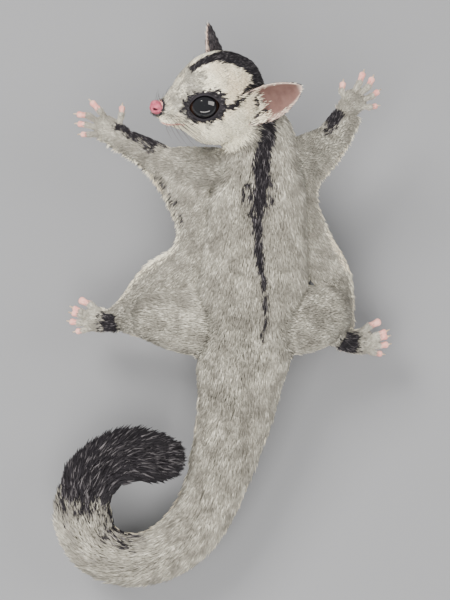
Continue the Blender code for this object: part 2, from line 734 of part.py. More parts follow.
def lid_opening(side):
    """What is cut out of the flesh in front of the eye."""
    low, high = (lid_edge(side, LID_OPEN, out_by) for out_by in OPENING)
    count = len(low)
    faces = [(k, (k + 1) % count, count + (k + 1) % count, count + k) for k in range(count)]
    faces += [tuple(range(count)), tuple(range(count, 2 * count))]
    return on_head(new_object("lid_opening", [*low, *high], faces))


def mouth_line(head):
    """Points on the skin along the mouth, from the left corner round the front to the right corner."""
    tree = BVHTree.FromObject(head, bpy.context.evaluated_depsgraph_get())
    frame = head_frame()
    back = frame.inverted()
    line = []
    for k in range(MOUTH_POINTS):
        turn = MOUTH_TURN * (1 - 2 * k / (MOUTH_POINTS - 1))
        out = Vector((math.cos(turn), math.sin(turn), 0.0))
        level = MOUTH_LEVEL + MOUTH_RISE * (turn / MOUTH_TURN) ** 2
        middle = Vector((MOUTH_MIDDLE, 0.0, level))
        start = frame @ ((middle + out * MOUTH_FAR) * MM)
        hit = tree.ray_cast(start, frame.to_3x3() @ -out)[0]
        line.append(back @ hit / MM - out * LIP_SUNK)
    return line


def make_head():
    """The head with its lids, lips and mouth, and a copy without them to cut the nose and ears by."""
    head = melted("head", head_forms(), HEAD_TRIANGLES)
    bpy.context.view_layer.update()
    mouth = mouth_line(head)
    plain = copy_of(head, "plain_head")
    lips = on_head(ring_tube("lips", mouth, LIP_RADIUS, sides=6, closed=False))
    boolean(head, "UNION", [lids(1), lids(-1), lips])
    groove = []
    for point in mouth[1:-1]:
        out = unit(point - Vector((MOUTH_MIDDLE, 0.0, point.z)))
        groove.append(point + out * MOUTH_OUT)
    cutters = [on_head(ring_tube("mouth", groove, MOUTH_CUT, sides=4, closed=False))]
    for side in (1, -1):
        cutters.append(on_head(ball("socket", mirror_y(EYE_PLACE, side), (EYE_RADIUS + GAP,) * 3)))
        cutters.append(lid_opening(side))
    middle, way = NECK_CUT
    cutters.append(block_beyond("neck_end", Vector(middle) + unit(way) * (GAP / 2), -Vector(way), HEAD_REACH))
    boolean(head, "DIFFERENCE", cutters)
    return largest_part(head), plain


def make_eye(side, name):
    return on_head(ball(name, mirror_y(EYE_PLACE, side), (EYE_RADIUS,) * 3, sides=16, rings=10))


def make_nose(plain_head):
    nose = on_head(ball("nose", *NOSE_PAD, sides=14, rings=8))
    place, radii = NOSTRIL
    pits = [on_head(ball("nostril", mirror_y(place, side), radii, sides=8, rings=5)) for side in (1, -1)]
    boolean(nose, "DIFFERENCE", [swollen(plain_head, "face"), *pits])
    return largest_part(nose)


def ear_sheet(name, side, along, opens, steps=(9, 6)):
    """The cupped leaf of one ear as an open sheet in the head's frame."""
    along = unit(along)
    opens = (Vector(opens) - along * Vector(opens).dot(along)).normalized()
    across = along.cross(opens)
    root = Vector(mirror_y(EAR_ROOT, side))
    points, faces = [], []
    for i in range(steps[0] + 1):
        u = -EAR_SUNK + (1 + EAR_SUNK) * math.sin(0.5 * math.pi * i / steps[0])
        half = 1.0 - ((u - EAR_WIDEST) / (1.015 - EAR_WIDEST)) ** 2
        half = EAR_HALF_WIDTH * half ** (0.5 if u < EAR_WIDEST else EAR_POINTED)
        for j in range(steps[1] + 1):
            v = -1 + 2 * j / steps[1]
            cup = EAR_CUP * (v * v - 0.35) * (1.15 - 0.75 * max(u, 0.0)) * half / EAR_HALF_WIDTH
            bend = EAR_BEND * max(u, 0.0) ** 2
            points.append(root + along * (EAR_LENGTH * u) + across * (half * v) + opens * (cup - bend))
    row = steps[1] + 1
    for i in range(steps[0]):
        for j in range(steps[1]):
            faces.append((i * row + j, i * row + j + 1, (i + 1) * row + j + 1, (i + 1) * row + j))
    return on_head(new_object(name, points, faces))


def make_ear(plain_head, name, side, pose):
    ear = ear_sheet(name, side, pose["along"], pose["opens"])
    wall = ear.modifiers.new("wall", "SOLIDIFY")
    wall.thickness = EAR_THICK * MM
    wall.offset = 0.0
    applied(ear)
    boolean(ear, "DIFFERENCE", [swollen(plain_head, "scalp")])
    return largest_part(ear)


def digit(base, middle, tip, radius, levels, clawed):
    """One finger or toe with its pad and, where it has one, its claw."""
    base, middle, tip = (Vector((*flat, level)) for flat, level in zip((base, middle, tip), levels))
    run = (tip - middle).normalized()
    pad = tip - run * (CLAW_LENGTH * 0.9 if clawed else 0.8)
    rows = [(*base, radius * 1.05, radius, radius), (*middle, radius * 0.95, radius * 0.9, radius * 0.9),
            (*(middle.lerp(pad, 0.6)), radius * 0.9, radius * 0.8, radius * 0.85),
            (*pad, radius * 0.9, radius * 0.75, radius * 0.95)]
    pieces = [tube("digit", rows, sides=6, per_span=1, round_start=0, cap_rings=1)]
    if clawed:
        root = pad + Vector((0.0, 0.0, radius * 0.35)) - run * 0.4
        bend = root + run * (CLAW_LENGTH * 0.75) + Vector((0.0, 0.0, 0.1))
        point = root + run * (CLAW_LENGTH * 1.25) - Vector((0.0, 0.0, 1.3))
        claw = [(*root, CLAW_RADIUS, CLAW_RADIUS, CLAW_RADIUS),
                (*bend, CLAW_RADIUS * 0.7, CLAW_RADIUS * 0.8, CLAW_RADIUS * 0.8),
                (*point, 0.12, 0.12, 0.12)]
        pieces.append(tube("claw", claw, sides=4, per_span=1, round_start=0, round_end=0))
    return pieces


def make_paw(name, plan, joint):
    """A hand or a foot: one body with its digits and claws, flat where it meets the limb."""
    palm = tube(name, plan["palm"], sides=10, per_span=1, round_start=0.6, round_end=0.7, cap_rings=2)
    others = []
    for k, (base, middle, tip, radius) in enumerate(plan["digits"]):
        others.extend(digit(base, middle, tip, radius, plan["levels"], k != plan["clawless"]))
    boolean(palm, "UNION", others)
    middle, way = joint
    start = Vector(middle) + unit(way) * (GAP / 2)
    boolean(palm, "DIFFERENCE", [block_beyond("limb_end", start, -Vector(way), PAW_REACH, 2 * PAW_REACH)])
    return largest_part(palm)


def membrane_sheet(name, pairs, across=4, per_span=2):
    """A gliding membrane as a closed plate that thins towards its free edge and billows between."""
    rows = smooth_rows([[*inner, *outer] for inner, outer in pairs], per_span)
    points = []
    for face in (1.0, -1.0):
        for i, row in enumerate(rows):
            inner, outer = Vector(row[:3]), Vector(row[3:])
            for j in range(across + 1):
                s = j / across
                thick = MEMBRANE_ROOT + (MEMBRANE_EDGE - MEMBRANE_ROOT) * min(1.0, 1.25 * s)
                thick *= math.sqrt(max(0.0, 1.0 - s**12)) + (0.35 if j == across else 0.0)
                lift = MEMBRANE_BILLOW * math.sin(math.pi * s)
                here = inner.lerp(outer, s)
                points.append((here.x, here.y, here.z + lift + face * thick))
    count, row = len(rows), across + 1
    faces = []
    for layer in range(2):
        first = layer * count * row
        for i in range(count - 1):
            for j in range(across):
                a = first + i * row + j
                faces.append((a, a + 1, a + row + 1))
                faces.append((a, a + row + 1, a + row))
    border = [(0, j) for j in range(row)] + [(i, across) for i in range(1, count)]
    border += [(count - 1, j) for j in range(across - 1, -1, -1)] + [(i, 0) for i in range(count - 2, 0, -1)]
    for (i, j), (k, m) in zip(border, border[1:] + border[:1]):
        a, b = i * row + j, k * row + m
        faces.append((a, b, b + count * row, a + count * row))
    return new_object(name, points, faces)


def make_membrane(side, body, paws):
    sheet = membrane_sheet(f"membrane_{side}", MEMBRANES[side])
    cutters = [swollen(body, "flank")] + [swollen(paw, "paw") for paw in paws]
    boolean(sheet, "DIFFERENCE", cutters, solver="MANIFOLD")
    return largest_part(sheet)


def make_body():
    """The trunk and limbs as one skin, then parted at the joints."""
    body = melted("body", body_forms(), BODY_TRIANGLES)
    flank = copy_of(body, "flank")
    cutters = [slab("cut", middle, way, reach) for middle, way, reach in BODY_CUTS]
    for middle, way in [*WRISTS.values(), *ANKLES.values()]:
        start = Vector(middle) - unit(way) * (GAP / 2)
        cutters.append(block_beyond("end", start, way, JOINT_REACH, 2 * JOINT_REACH))
    middle, way = NECK_CUT
    cutters.append(block_beyond("head_room", Vector(middle) - unit(way) * (GAP / 2), way, NECK_REACH))
    rows = smooth_rows(TAIL, TAIL_STEPS)
    start = TAIL_PIECES["tail_1"][0] * TAIL_STEPS
    middle, way = rows[start, :3], directions(rows[:, :3])[start]
    cutters.append(block_beyond("tail_room", Vector(middle) - unit(way) * (GAP / 2), way, TAIL_REACH))
    boolean(body, "DIFFERENCE", cutters)
    return parted(body, BODY_SEEDS), flank


def tail_line():
    """Length along the tail, its middle line, ways and half widths, out to where the hair ends."""
    rows = smooth_rows(TAIL, 2 * TAIL_STEPS)
    step = rows[-1, :3] - rows[-2, :3]
    end = [*(rows[-1, :3] + step / np.linalg.norm(step) * HAIR_PAST_TIP), *(rows[-1, 3:] * HAIR_TIP_SHARE)]
    rows = np.vstack([rows, end])
    path = rows[:, :3]
    lengths = np.concatenate([[0.0], np.cumsum(np.linalg.norm(np.diff(path, axis=0), axis=1))])
    return lengths, path, directions(path), rows[:, 3]


def beside_tail(line, length, turn, share):
    """A point off the tail's middle line, that share of its half width out, with the ways out and round."""
    lengths, path, ways, widths = line
    middle = Vector([np.interp(length, lengths, path[:, i]) for i in range(3)])
    along = unit([np.interp(length, lengths, ways[:, i]) for i in range(3)])
    across = along.cross(UP).normalized()
    out = across * math.cos(turn) + across.cross(along) * math.sin(turn)
    return middle + out * (share * np.interp(length, lengths, widths)), out, along.cross(out)


def lock(line, start, turn, length, width, reach, sway):
    """One flat lock that leaves the core, bends to lie along the tail and tapers to a point."""
    points = []
    for k in range(LOCK_STATIONS):
        t = k / LOCK_STATIONS
        share = LOCK_ROOT + (reach - LOCK_ROOT) * (1 - (1 - t) ** LOCK_BEND)
        middle, out, side = beside_tail(line, start + length * t, turn + sway * t, share)
        half = side * (width / 2 * (0.7 + 1.2 * t - 1.4 * t * t))
        thick = out * (LOCK_THICK / 2 * (1 - 0.5 * t))
        points += [middle - half, middle + thick, middle + half, middle - thick]
    points.append(beside_tail(line, start + length, turn + sway, reach)[0])
    faces = [(0, 1, 2, 3)]
    for first in range(0, len(points) - 5, 4):
        faces += [(first + s, first + (s + 1) % 4, first + 4 + (s + 1) % 4, first + 4 + s) for s in range(4)]
    last = len(points) - 5
    faces += [(last + s, last + (s + 1) % 4, last + 4) for s in range(4)]
    return new_object("lock", points, faces)


def brush_locks(begins):
    """Rings of locks from just before the dark end of the tail, each ring set between those of the last."""
    draw = random.Random(LOCK_SEED)
    line = tail_line()
    locks = []
    starts = np.arange(begins - LOCK_LENGTH, line[0][-1] - HAIR_PAST_TIP, LOCK_SPACING)
    for ring, start in enumerate(starts):
        for k in range(LOCKS_ROUND):
            turn = 2 * math.pi * (k + 0.5 * (ring % 2) + draw.uniform(-LOCK_SWAY, LOCK_SWAY)) / LOCKS_ROUND
            locks.append(lock(line, start + draw.uniform(-0.3, 0.3) * LOCK_SPACING, turn,
                              LOCK_LENGTH * draw.uniform(1 - LOCK_VARY, 1 + LOCK_VARY),
                              LOCK_WIDTH * draw.uniform(1 - LOCK_VARY, 1 + LOCK_VARY),
                              LOCK_REACH * draw.uniform(0.93, 1.05), draw.uniform(-LOCK_SWAY, LOCK_SWAY)))
    return locks


def make_brush(rows, along, begins):
    """The dark end of the tail: a core that thins behind a shoulder, with its locks."""
    run = np.linalg.norm(rows[:, :3] - rows[0, :3], axis=1, keepdims=True)
    rows[:, 3:] *= CORE_SHARE + (1 - CORE_SHARE) * np.clip(1 - run / SHOULDER, 0, 1)
    brush = tube(BRUSH, rows, sides=BRUSH_SIDES, per_span=1, round_start=0, along=along)
    boolean(brush, "UNION", brush_locks(begins), solver="MANIFOLD")
    behind = block_beyond("behind", rows[0, :3], -along[0], BRUSH_REACH, 2 * BRUSH_REACH)
    boolean(brush, "DIFFERENCE", [behind], solver="MANIFOLD")
    return largest_part(brush)


def make_tail():
    """The tail in lengths, each a closed form that ends flat against the next."""
    rows = smooth_rows(TAIL, TAIL_STEPS)
    ways = directions(rows[:, :3])
    pieces = {}
    for name, (first, last) in TAIL_PIECES.items():
        span = slice(first * TAIL_STEPS, last * TAIL_STEPS + 1)
        own, along = rows[span].copy(), ways[span]
        own[0, :3] += GAP / 2 * along[0]
        if name == BRUSH:
            begins = float(np.sum(np.linalg.norm(np.diff(rows[:span.start + 1, :3], axis=0), axis=1)))
            pieces[name] = make_brush(own, along, begins)
        else:
            own[-1, :3] -= GAP / 2 * along[-1]
            pieces[name] = tube(name, own, TAIL_SIDES, per_span=1, round_start=0, round_end=0, along=along)
    return pieces


def carrier():
    """The empty that the whole animal hangs from, which tips it nose up over the stand."""
    empty = bpy.data.objects.new("glider", None)
    empty.empty_display_size = 30 * MM
    empty.rotation_euler = (GLIDE_PITCH, 0.0, 0.0)
    empty.location = (TRUNK_PLACE[0] * MM, TRUNK_PLACE[1] * MM, TRUNK_HEIGHT * MM)
    bpy.context.scene.collection.objects.link(empty)
    return empty


def upright(name, radius, low, high, sides=48, place=(0.0, 0.0)):
    """An upright round bar between two heights."""
    bpy.ops.mesh.primitive_cylinder_add(vertices=sides, radius=radius * MM, depth=(high - low) * MM)
    bar = bpy.context.object
    bar.name = name
    bar.data.transform(Matrix.Translation((place[0] * MM, place[1] * MM, (high + low) / 2 * MM)))
    bar.location = (0.0, 0.0, 0.0)
    return bar


def make_base():
    """The flat oval foot of the stand."""
    base = upright("stand_base", 1.0, 0.0, BASE_THICK, sides=40)
    base.data.transform(Matrix.Diagonal((BASE_WIDTH / 2, BASE_LENGTH / 2, 1.0, 1.0)))
    edge = base.modifiers.new("edge", "BEVEL")
    edge.width = BASE_EDGE * MM
    edge.segments = 1
    edge.limit_method = "ANGLE"
    return base


def make_rod(torso, hung_from):
    """One rod with a collar at its foot, cut to the belly that it carries."""
    low = BASE_THICK + GAP
    rod = upright("stand_rod", ROD_RADIUS, low, TRUNK_HEIGHT, sides=20, place=ROD_PLACE)
    collar = upright("collar", COLLAR_RADIUS, low, low + COLLAR_HEIGHT, sides=20, place=ROD_PLACE)
    boolean(rod, "UNION", [collar])
    belly = swollen(torso, "belly")
    belly.parent = hung_from
    boolean(rod, "DIFFERENCE", [belly])
    return lowest_part(rod)


def lowest_part(thing):
    """The object with only the closed surface kept that reaches lowest."""
    points, faces = min(closed_parts(thing), key=lambda part: min(point[2] for point in part[0]))
    name = thing.name
    bpy.data.objects.remove(thing)
    return new_object(name, points, faces)


def main():
    clear_scene()
    nodes = {}
    nodes["head"], plain_head = make_head()
    for side, way in (("left", 1), ("right", -1)):
        nodes[f"eye_{side}"] = make_eye(way, f"eye_{side}")
        nodes[f"ear_{side}"] = make_ear(plain_head, f"ear_{side}", way, EARS[side])
    nodes["nose"] = make_nose(plain_head)
    bpy.data.objects.remove(plain_head)
    body, flank = make_body()
    nodes.update(body)
    for side in ("left", "right"):
        nodes[f"hand_{side}"] = make_paw(f"hand_{side}", HANDS[side], WRISTS[side])
        nodes[f"foot_{side}"] = make_paw(f"foot_{side}", FEET[side], ANKLES[side])
        nodes[f"membrane_{side}"] = make_membrane(side, flank, [nodes[f"hand_{side}"], nodes[f"foot_{side}"]])
    bpy.data.objects.remove(flank)
    nodes.update(make_tail())
    hung_from = carrier()
    for node in nodes.values():
        node.parent = hung_from
    nodes["stand_base"] = make_base()
    nodes["stand_rod"] = make_rod(nodes["torso"], hung_from)
    for name, node in nodes.items():
        kind = next(kind for start, kind in FINISH_OF.items() if name.startswith(start))
        node.data.materials.clear()
        node.data.materials.append(finish_of(kind))
        node.data.shade_smooth()
        node.data.set_sharp_from_angle(angle=SHARP_ANGLE)


main()
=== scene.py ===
# %% [markdown]
# # A sugar glider on a display stand
# The animal glides with all four limbs spread, nose a little up, over a dark oval base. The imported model
# gives the solid shapes; here they get a skin, a coat of real tufts, wet eyes, claws and a brushed tail.
# All tables are in millimetres in the body's own frame: X to its right, Y to its head, Z out of its back.

# %% Load the frame and set the body over the stand
import json
import math

import bmesh
import bpy
import numpy as np
from mathutils import Matrix, Vector, noise
from mathutils.bvhtree import BVHTree

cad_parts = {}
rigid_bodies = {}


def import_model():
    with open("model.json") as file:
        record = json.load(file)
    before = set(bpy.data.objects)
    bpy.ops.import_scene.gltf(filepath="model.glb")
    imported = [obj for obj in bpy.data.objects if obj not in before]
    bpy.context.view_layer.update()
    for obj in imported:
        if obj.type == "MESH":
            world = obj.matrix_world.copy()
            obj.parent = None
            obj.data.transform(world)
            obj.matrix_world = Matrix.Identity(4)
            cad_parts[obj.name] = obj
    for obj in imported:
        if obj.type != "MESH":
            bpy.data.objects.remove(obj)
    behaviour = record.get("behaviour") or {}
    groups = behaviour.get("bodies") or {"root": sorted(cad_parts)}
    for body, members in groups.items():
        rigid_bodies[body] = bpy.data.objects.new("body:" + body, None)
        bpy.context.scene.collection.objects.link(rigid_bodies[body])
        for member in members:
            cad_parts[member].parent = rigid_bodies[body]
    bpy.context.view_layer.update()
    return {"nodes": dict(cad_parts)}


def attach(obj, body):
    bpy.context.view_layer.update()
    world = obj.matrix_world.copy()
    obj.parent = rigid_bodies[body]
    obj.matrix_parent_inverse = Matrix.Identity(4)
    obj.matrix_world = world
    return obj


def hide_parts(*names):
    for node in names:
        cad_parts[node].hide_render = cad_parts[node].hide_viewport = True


for thing in list(bpy.data.objects):
    bpy.data.objects.remove(thing)
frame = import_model()

MM = 0.001
UP = Vector((0.0, 0.0, 1.0))
GLIDER = Matrix.Translation(Vector((2.0, 0.0, 50.0))) @ Matrix.Rotation(math.radians(12), 4, "X")


def unit(way):
    return Vector(way).normalized()


def lerp(a, b, share):
    return a + (b - a) * share


# %% [markdown]
# ## The head's own frame
# The head is turned to its left and lifted, so its forms are easiest to write along its own axes: X to the
# nose, Y to its left, Z out of the crown. One matrix then sets every piece of the face on the body.

# %% Set up the head's frame and mirror rule
HEAD_PLACE = (-18.5, 64.6, 13.5)
NOSE_WAY = unit((-0.880, -0.034, 0.473))
LEFT_WAY = unit(Vector((0.394, -0.603, 0.694)) - NOSE_WAY * NOSE_WAY.dot(Vector((0.394, -0.603, 0.694))))
CROWN_WAY = NOSE_WAY.cross(LEFT_WAY)
HEAD = Matrix.Translation(Vector(HEAD_PLACE)) @ Matrix((NOSE_WAY, LEFT_WAY, CROWN_WAY)).transposed().to_4x4()
SIDES = {"left": 1, "right": -1}


def to_side(place, side):
    return Vector((place[0], place[1] * side, place[2]))


# %% [markdown]
# ## Forms of the flesh
# Under the coat a glider is a long soft sack with thin limbs. Each limb, the trunk and the tail is a loft
# through a few rows of x, y, z, half width, height above and height below. Rows are smoothed before they
# are skinned, so a handful of them gives a round, living shape.

# %% Write the rows of trunk, neck and tail
TRUNK = [(2, 52, 1.5, 15, 13.5, 13), (2, 43, 1, 19, 16, 15), (1.5, 27, .5, 22, 18, 16.5),
         (.5, 6, 0, 24, 19, 17), (-1, -14, 0, 25.5, 19.5, 17), (-3, -31, -.5, 25.5, 18.5, 16.5),
         (-5, -45, -1, 22.5, 16.5, 15), (-6.6, -57, -1, 19.5, 15.2, 14)]
NECK = [(2, 44, 1, 17.5, 15.5, 14), (0, 51.5, 3, 16.4, 15, 14), (-5, 57.5, 5.5, 16, 15.2, 14.4),
        (-10.5, 61, 9, 13.8, 13.8, 12.8), (-14.5, 63, 11.5, 11, 11, 10)]
TAIL = [(-6, -50, -1, 21, 15.8, 14.5), (-7.9, -67.5, -1, 18, 14.6, 13.6), (-11.3, -83.3, -1, 15.9, 13.8, 13),
        (-15.3, -97.7, -.5, 14.4, 13.2, 12.6), (-21.2, -113.5, 0, 13.4, 12.9, 12.4),
        (-30, -127, .5, 13, 12.6, 12.2), (-43, -136.3, 1, 12.2, 12.2, 12), (-57.6, -138.6, 2, 11.9, 12, 11.6),
        (-70.3, -133, 3.5, 12.4, 12, 11.6), (-76.3, -121.5, 5, 12.8, 12.4, 12),
        (-75.2, -109.5, 6.5, 13.2, 12.8, 12.4), (-69.5, -99.5, 8, 13.3, 12.9, 12.5),
        (-59.5, -93.2, 9.5, 12.4, 12.2, 11.8), (-48.5, -92.2, 10.8, 10.4, 10.4, 10),
        (-42, -92.2, 11.6, 7.6, 7.6, 7.4)]

# %% Write the rows of the limbs
LIMBS = {
    "arm_left": [[(-10, 35, 0, 11, 10.5, 10.5), (-20, 37, -3, 9.8, 9, 9), (-31, 39.4, -6.5, 8, 7.2, 7.2),
                  (-40, 40.5, -9, 6.6, 6, 6)],
                 [(-38.5, 40, -9, 6.6, 6, 6), (-45, 43.5, -8.5, 6.4, 5.6, 5.6),
                  (-54, 48.6, -8, 5.2, 4.6, 4.6), (-61, 52.5, -8, 4.2, 3.5, 3.4),
                  (-66, 55, -8, 4.6, 3.2, 3)]],
    "arm_right": [[(10, 37, 0, 11, 10.5, 10.5), (20, 41.5, -3, 9.8, 8.8, 8.8),
                   (28.5, 46.5, -6.5, 8.6, 7.4, 7.4), (34, 50, -8.8, 7.4, 6.4, 6.4)],
                  [(32, 48.6, -9, 7.4, 6.2, 6.2), (36, 53.4, -8.8, 7, 5.8, 5.8),
                   (39, 59, -8, 5.8, 4.8, 4.8), (41.6, 64.6, -7.5, 4.4, 3.5, 3.4),
                   (44.5, 67.6, -7.5, 4.6, 3.2, 3)]],
    "leg_left": [[(-9, -31, -2, 17, 14, 13), (-23, -32, -2, 16.4, 13, 12), (-36, -31.2, -2, 14.4, 11, 10.5),
                  (-47, -29.6, -3, 11.6, 8.8, 8.6)],
                 [(-44, -29.8, -3, 11.8, 9, 8.8), (-51.5, -31, -5.5, 9.2, 7, 7), (-58, -32, -9.5, 6.2, 5, 5),
                  (-63.5, -32.2, -12, 4.7, 3.9, 3.8), (-69, -32, -13, 4.8, 3.4, 3.2)]],
    "leg_right": [[(7, -31, -2, 17, 14, 13), (18, -31, -2, 16.6, 13, 12), (27, -29.6, -2, 15.2, 11.4, 10.8),
                   (33.5, -27, -2.5, 12.4, 9.6, 9.4)],
                  [(31.5, -26, -3, 12.2, 9.4, 9.2), (34.5, -31.5, -6.5, 10, 7.6, 7.6),
                   (36.6, -37, -10.5, 7, 5.4, 5.4), (40, -40.8, -13, 5, 3.9, 3.8),
                   (45, -41.6, -14, 4.8, 3.4, 3.2)]],
}

# %% [markdown]
# ## Hands and feet
# Each palm is a short loft and each digit runs from its base over a middle joint to its tip. A glider has
# five digits on every hand and foot, and all but the big toe carry a sharp hooked claw.

# %% Write the palms and digits
PAWS = {
    "hand_left": {
        "palm": [(-59.5, 51.8, -8, 4.1, 3.4, 3.3), (-64, 54.2, -8.2, 5.2, 3.2, 3),
                 (-68.5, 56, -8.6, 5.8, 2.9, 2.7), (-71.5, 56.8, -9, 4.6, 2.2, 2)],
        "digits": [((-62, 56.5), (-60.6, 61.8), (-60.4, 67.2), 1.5),
                   ((-66.5, 58), (-70.2, 63.4), (-75.4, 69), 1.55),
                   ((-69.5, 57.8), (-75.8, 61.4), (-82.2, 62.6), 1.55),
                   ((-70.5, 55.6), (-76.4, 57.2), (-81.8, 58.2), 1.5),
                   ((-69.5, 53), (-75.4, 52.8), (-80.4, 53.2), 1.4)],
        "levels": (-8.4, -7.2, -10), "clawless": None},
    "hand_right": {
        "palm": [(40.8, 63.2, -7.6, 4.2, 3.4, 3.3), (43.4, 66.3, -7.8, 5, 3.2, 3),
                 (45.8, 68.8, -8.2, 5.6, 2.9, 2.7), (47.4, 70.6, -8.6, 4.4, 2.2, 2)],
        "digits": [((41.8, 67.8), (39.6, 72.6), (40.6, 78), 1.5),
                   ((44.6, 70.4), (47.6, 76.2), (50, 82.4), 1.55),
                   ((46.8, 70.4), (51.6, 74.4), (54.4, 80), 1.55),
                   ((48, 68.4), (53.4, 70.2), (57.4, 73.6), 1.5),
                   ((47.6, 65.8), (52.6, 65.2), (57, 66.4), 1.4)],
        "levels": (-8, -6.8, -9.6), "clawless": None},
    "foot_left": {
        "palm": [(-63.5, -32.2, -12.2, 4.6, 3.8, 3.7), (-68, -32, -13.2, 5, 3.4, 3.2),
                 (-72.5, -31.5, -13.8, 5.6, 3, 2.8), (-76.5, -31.2, -14.2, 4.8, 2.3, 2.1)],
        "digits": [((-70.5, -29), (-75.2, -24.8), (-80.2, -22.4), 1.8),
                   ((-75, -29.6), (-79.6, -27.6), (-84.6, -25.6), 1.35),
                   ((-75.2, -31), (-80, -29.6), (-85.2, -28.2), 1.35),
                   ((-75, -33.2), (-80.6, -33), (-86, -32.2), 1.6),
                   ((-73.8, -35), (-78.4, -36.4), (-83.2, -37.2), 1.5)],
        "levels": (-14, -12.8, -15.4), "clawless": 0},
    "foot_right": {
        "palm": [(40, -40.6, -13.2, 4.8, 3.8, 3.7), (44.5, -41.4, -14.2, 5.2, 3.4, 3.2),
                 (49, -41.8, -14.8, 5.8, 3, 2.8), (53, -41.8, -15.2, 5, 2.3, 2.1)],
        "digits": [((47.2, -38.8), (52.4, -34.8), (57.8, -32.4), 1.8),
                   ((51.6, -40), (56.6, -38.4), (62, -36.4), 1.35),
                   ((51.8, -41.4), (56.8, -40.4), (62.6, -39), 1.35),
                   ((51.6, -43.6), (57.2, -43.6), (62.8, -42.8), 1.6),
                   ((50.2, -45.4), (55, -46.8), (60, -47.6), 1.5)],
        "levels": (-15, -13.8, -16.4), "clawless": 0},
}
CLAW_LENGTH = 2.6
CLAW_RADIUS = 0.55

# %% [markdown]
# ## The gliding membrane
# A furred fold of skin runs from the wrist to the ankle. Pairs of points say where it leaves the flank or
# the limb and where its free edge hangs.

# %% Write the membranes' pairs
MEMBRANES = {
    "left": [((-61.5, 52, -8), (-69.5, 50.6, -9)), ((-52, 46, -8), (-60, 44.6, -8.5)),
             ((-42, 39.5, -8.5), (-51.5, 38.8, -8)), ((-30, 35, -5), (-44.6, 31, -6)),
             ((-19, 24, -1.5), (-39, 21, -3.5)), ((-19, 12, -1.5), (-35.2, 11.5, -2.2)),
             ((-19, 1, -1.5), (-36, 3, -2)), ((-21, -10, -1.5), (-41.5, -1.6, -3)),
             ((-31, -21, -2), (-48.8, -6, -5)), ((-44, -26, -3.5), (-55.2, -13.5, -8)),
             ((-55, -30, -8), (-61, -21.5, -11)), ((-64, -32.2, -12.2), (-67.5, -27.6, -13.2))],
    "right": [((41.6, 64, -7.6), (48.2, 60.4, -8.6)), ((38.6, 56, -8.2), (44.6, 53.4, -8.6)),
              ((35, 48, -9), (41, 46.4, -9)), ((27, 43, -6), (35.4, 38.6, -7.5)),
              ((20, 34, -2.5), (29.6, 31.6, -5)), ((19, 23, -1.5), (27.8, 23.6, -3)),
              ((19, 12, -1.5), (30.6, 14.6, -2.2)), ((20, 2, -1.5), (34.8, 5.4, -2.2)),
              ((22, -9, -1.5), (39.8, -2.6, -3.6)), ((29, -17, -2), (43.6, -11.4, -6)),
              ((34, -26, -6), (45, -22.6, -9.6)), ((38.5, -37, -12), (45.6, -34.6, -13.8))],
}
MEMBRANE_ROOT = 1.5             # half thickness at the flank, under the coat
MEMBRANE_EDGE = 0.85
MEMBRANE_BILLOW = 1.6

# %% [markdown]
# ## The face
# Short skull, round crown, deep muzzle: x, level of the widest line, half width, height above, height below,
# all in the head's frame. Cheeks, whisker pads and the walls round the eyeballs are balls melted into it.

# %% Write the sizes of the face
SKULL = [(-22.5, 0, 7, 6.5, 6), (-19.5, 0, 12, 12.6, 11), (-14.5, 0, 15.8, 19.6, 15.4),
         (-8, 0, 17.4, 22.6, 18), (-1, 0, 17.4, 23.8, 19), (6, -.3, 15.6, 22.4, 18),
         (12, -1.3, 12, 17.6, 14.8), (17, -2.6, 8.4, 11, 10.6),
         (21, -3.6, 6, 6.2, 7.4), (24.8, -4.2, 4.4, 3.8, 4.8), (27.2, -4.4, 3, 2.6, 3.4)]
JAW = [(2, -10.5, 9.2, 5, 5.2), (10, -10.2, 7, 4, 3.9), (16.5, -9.8, 4.6, 2.8, 2.7),
       (21.2, -9.2, 3, 1.9, 1.9)]
CHEEK = ((1, 10.8, -6), (9, 7.2, 8))
WHISKER_PAD = ((20.6, 3.5, -6.8), (5.6, 3.4, 3.3))
NAPE_BALL = ((-8, 1, -2), (14.5, 15.6, 15.6))
EYE_PLACE = (9.0, 8.1, 3.0)
EYE_RADIUS = 6.8
EYE_WAY = (0.43, 0.86, 0.27)
LID_LONG, LID_SHORT, LID_CORNER = 6.2, 5.45, 0.7
NOSE_PAD = ((27.2, 0.0, -3.4), (2.9, 3.5, 2.9))
NOSTRIL = (29.0, 2.2, -3.3)
MOUTH_MIDDLE, MOUTH_TURN, MOUTH_LEVEL, MOUTH_RISE = 14.5, math.radians(88), -8.6, 0.8
EAR_ROOT = (-10.5, 13.6, 6.3)
EAR_LENGTH, EAR_HALF_WIDTH, EAR_WIDEST, EAR_CUP, EAR_BEND = 24.5, 8.4, 0.30, 6.2, 1.4
EAR_SUNK = 0.15                 # share of its length that is inside the head
EAR_THICK = 0.9
EAR_POINTED = 0.78              # 0.5 is a round tip
EAR_ROWS, EAR_COLUMNS = 44, 30
EARS = {"left": ((-.58, .48, .66), (.50, .86, 0)), "right": ((.46, -.45, .77), (.63, -.44, -.64))}

# %% [markdown]
# ## Coat depth
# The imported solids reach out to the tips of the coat. The skin lies deeper by the coat's depth: a good two
# millimetres on the back, almost nothing on the muzzle and the hands. On the dark end of the tail the coat
# is nearly everything, round a thin core.

# %% State how deep the coat is
DEPTH = {"trunk": 2.2, "neck": 2.0, "tail": 2.4, "arm": 1.0, "leg": 1.3, "head": 0.9, "face": 0.45}
BRUSH_ROW = 9                   # row of TAIL where the dark brush begins
CORE_SHARE = 0.46               # of the brush's half width
SHOULDER_ROWS = 1.6             # over how many rows the tail thins to that core

# %% [markdown]
# ## Lofts, balls and tubes
# One function skins a row of cross-sections with numpy. It gives bare points and faces, so that many forms
# can be gathered into one mesh before it is melted together.

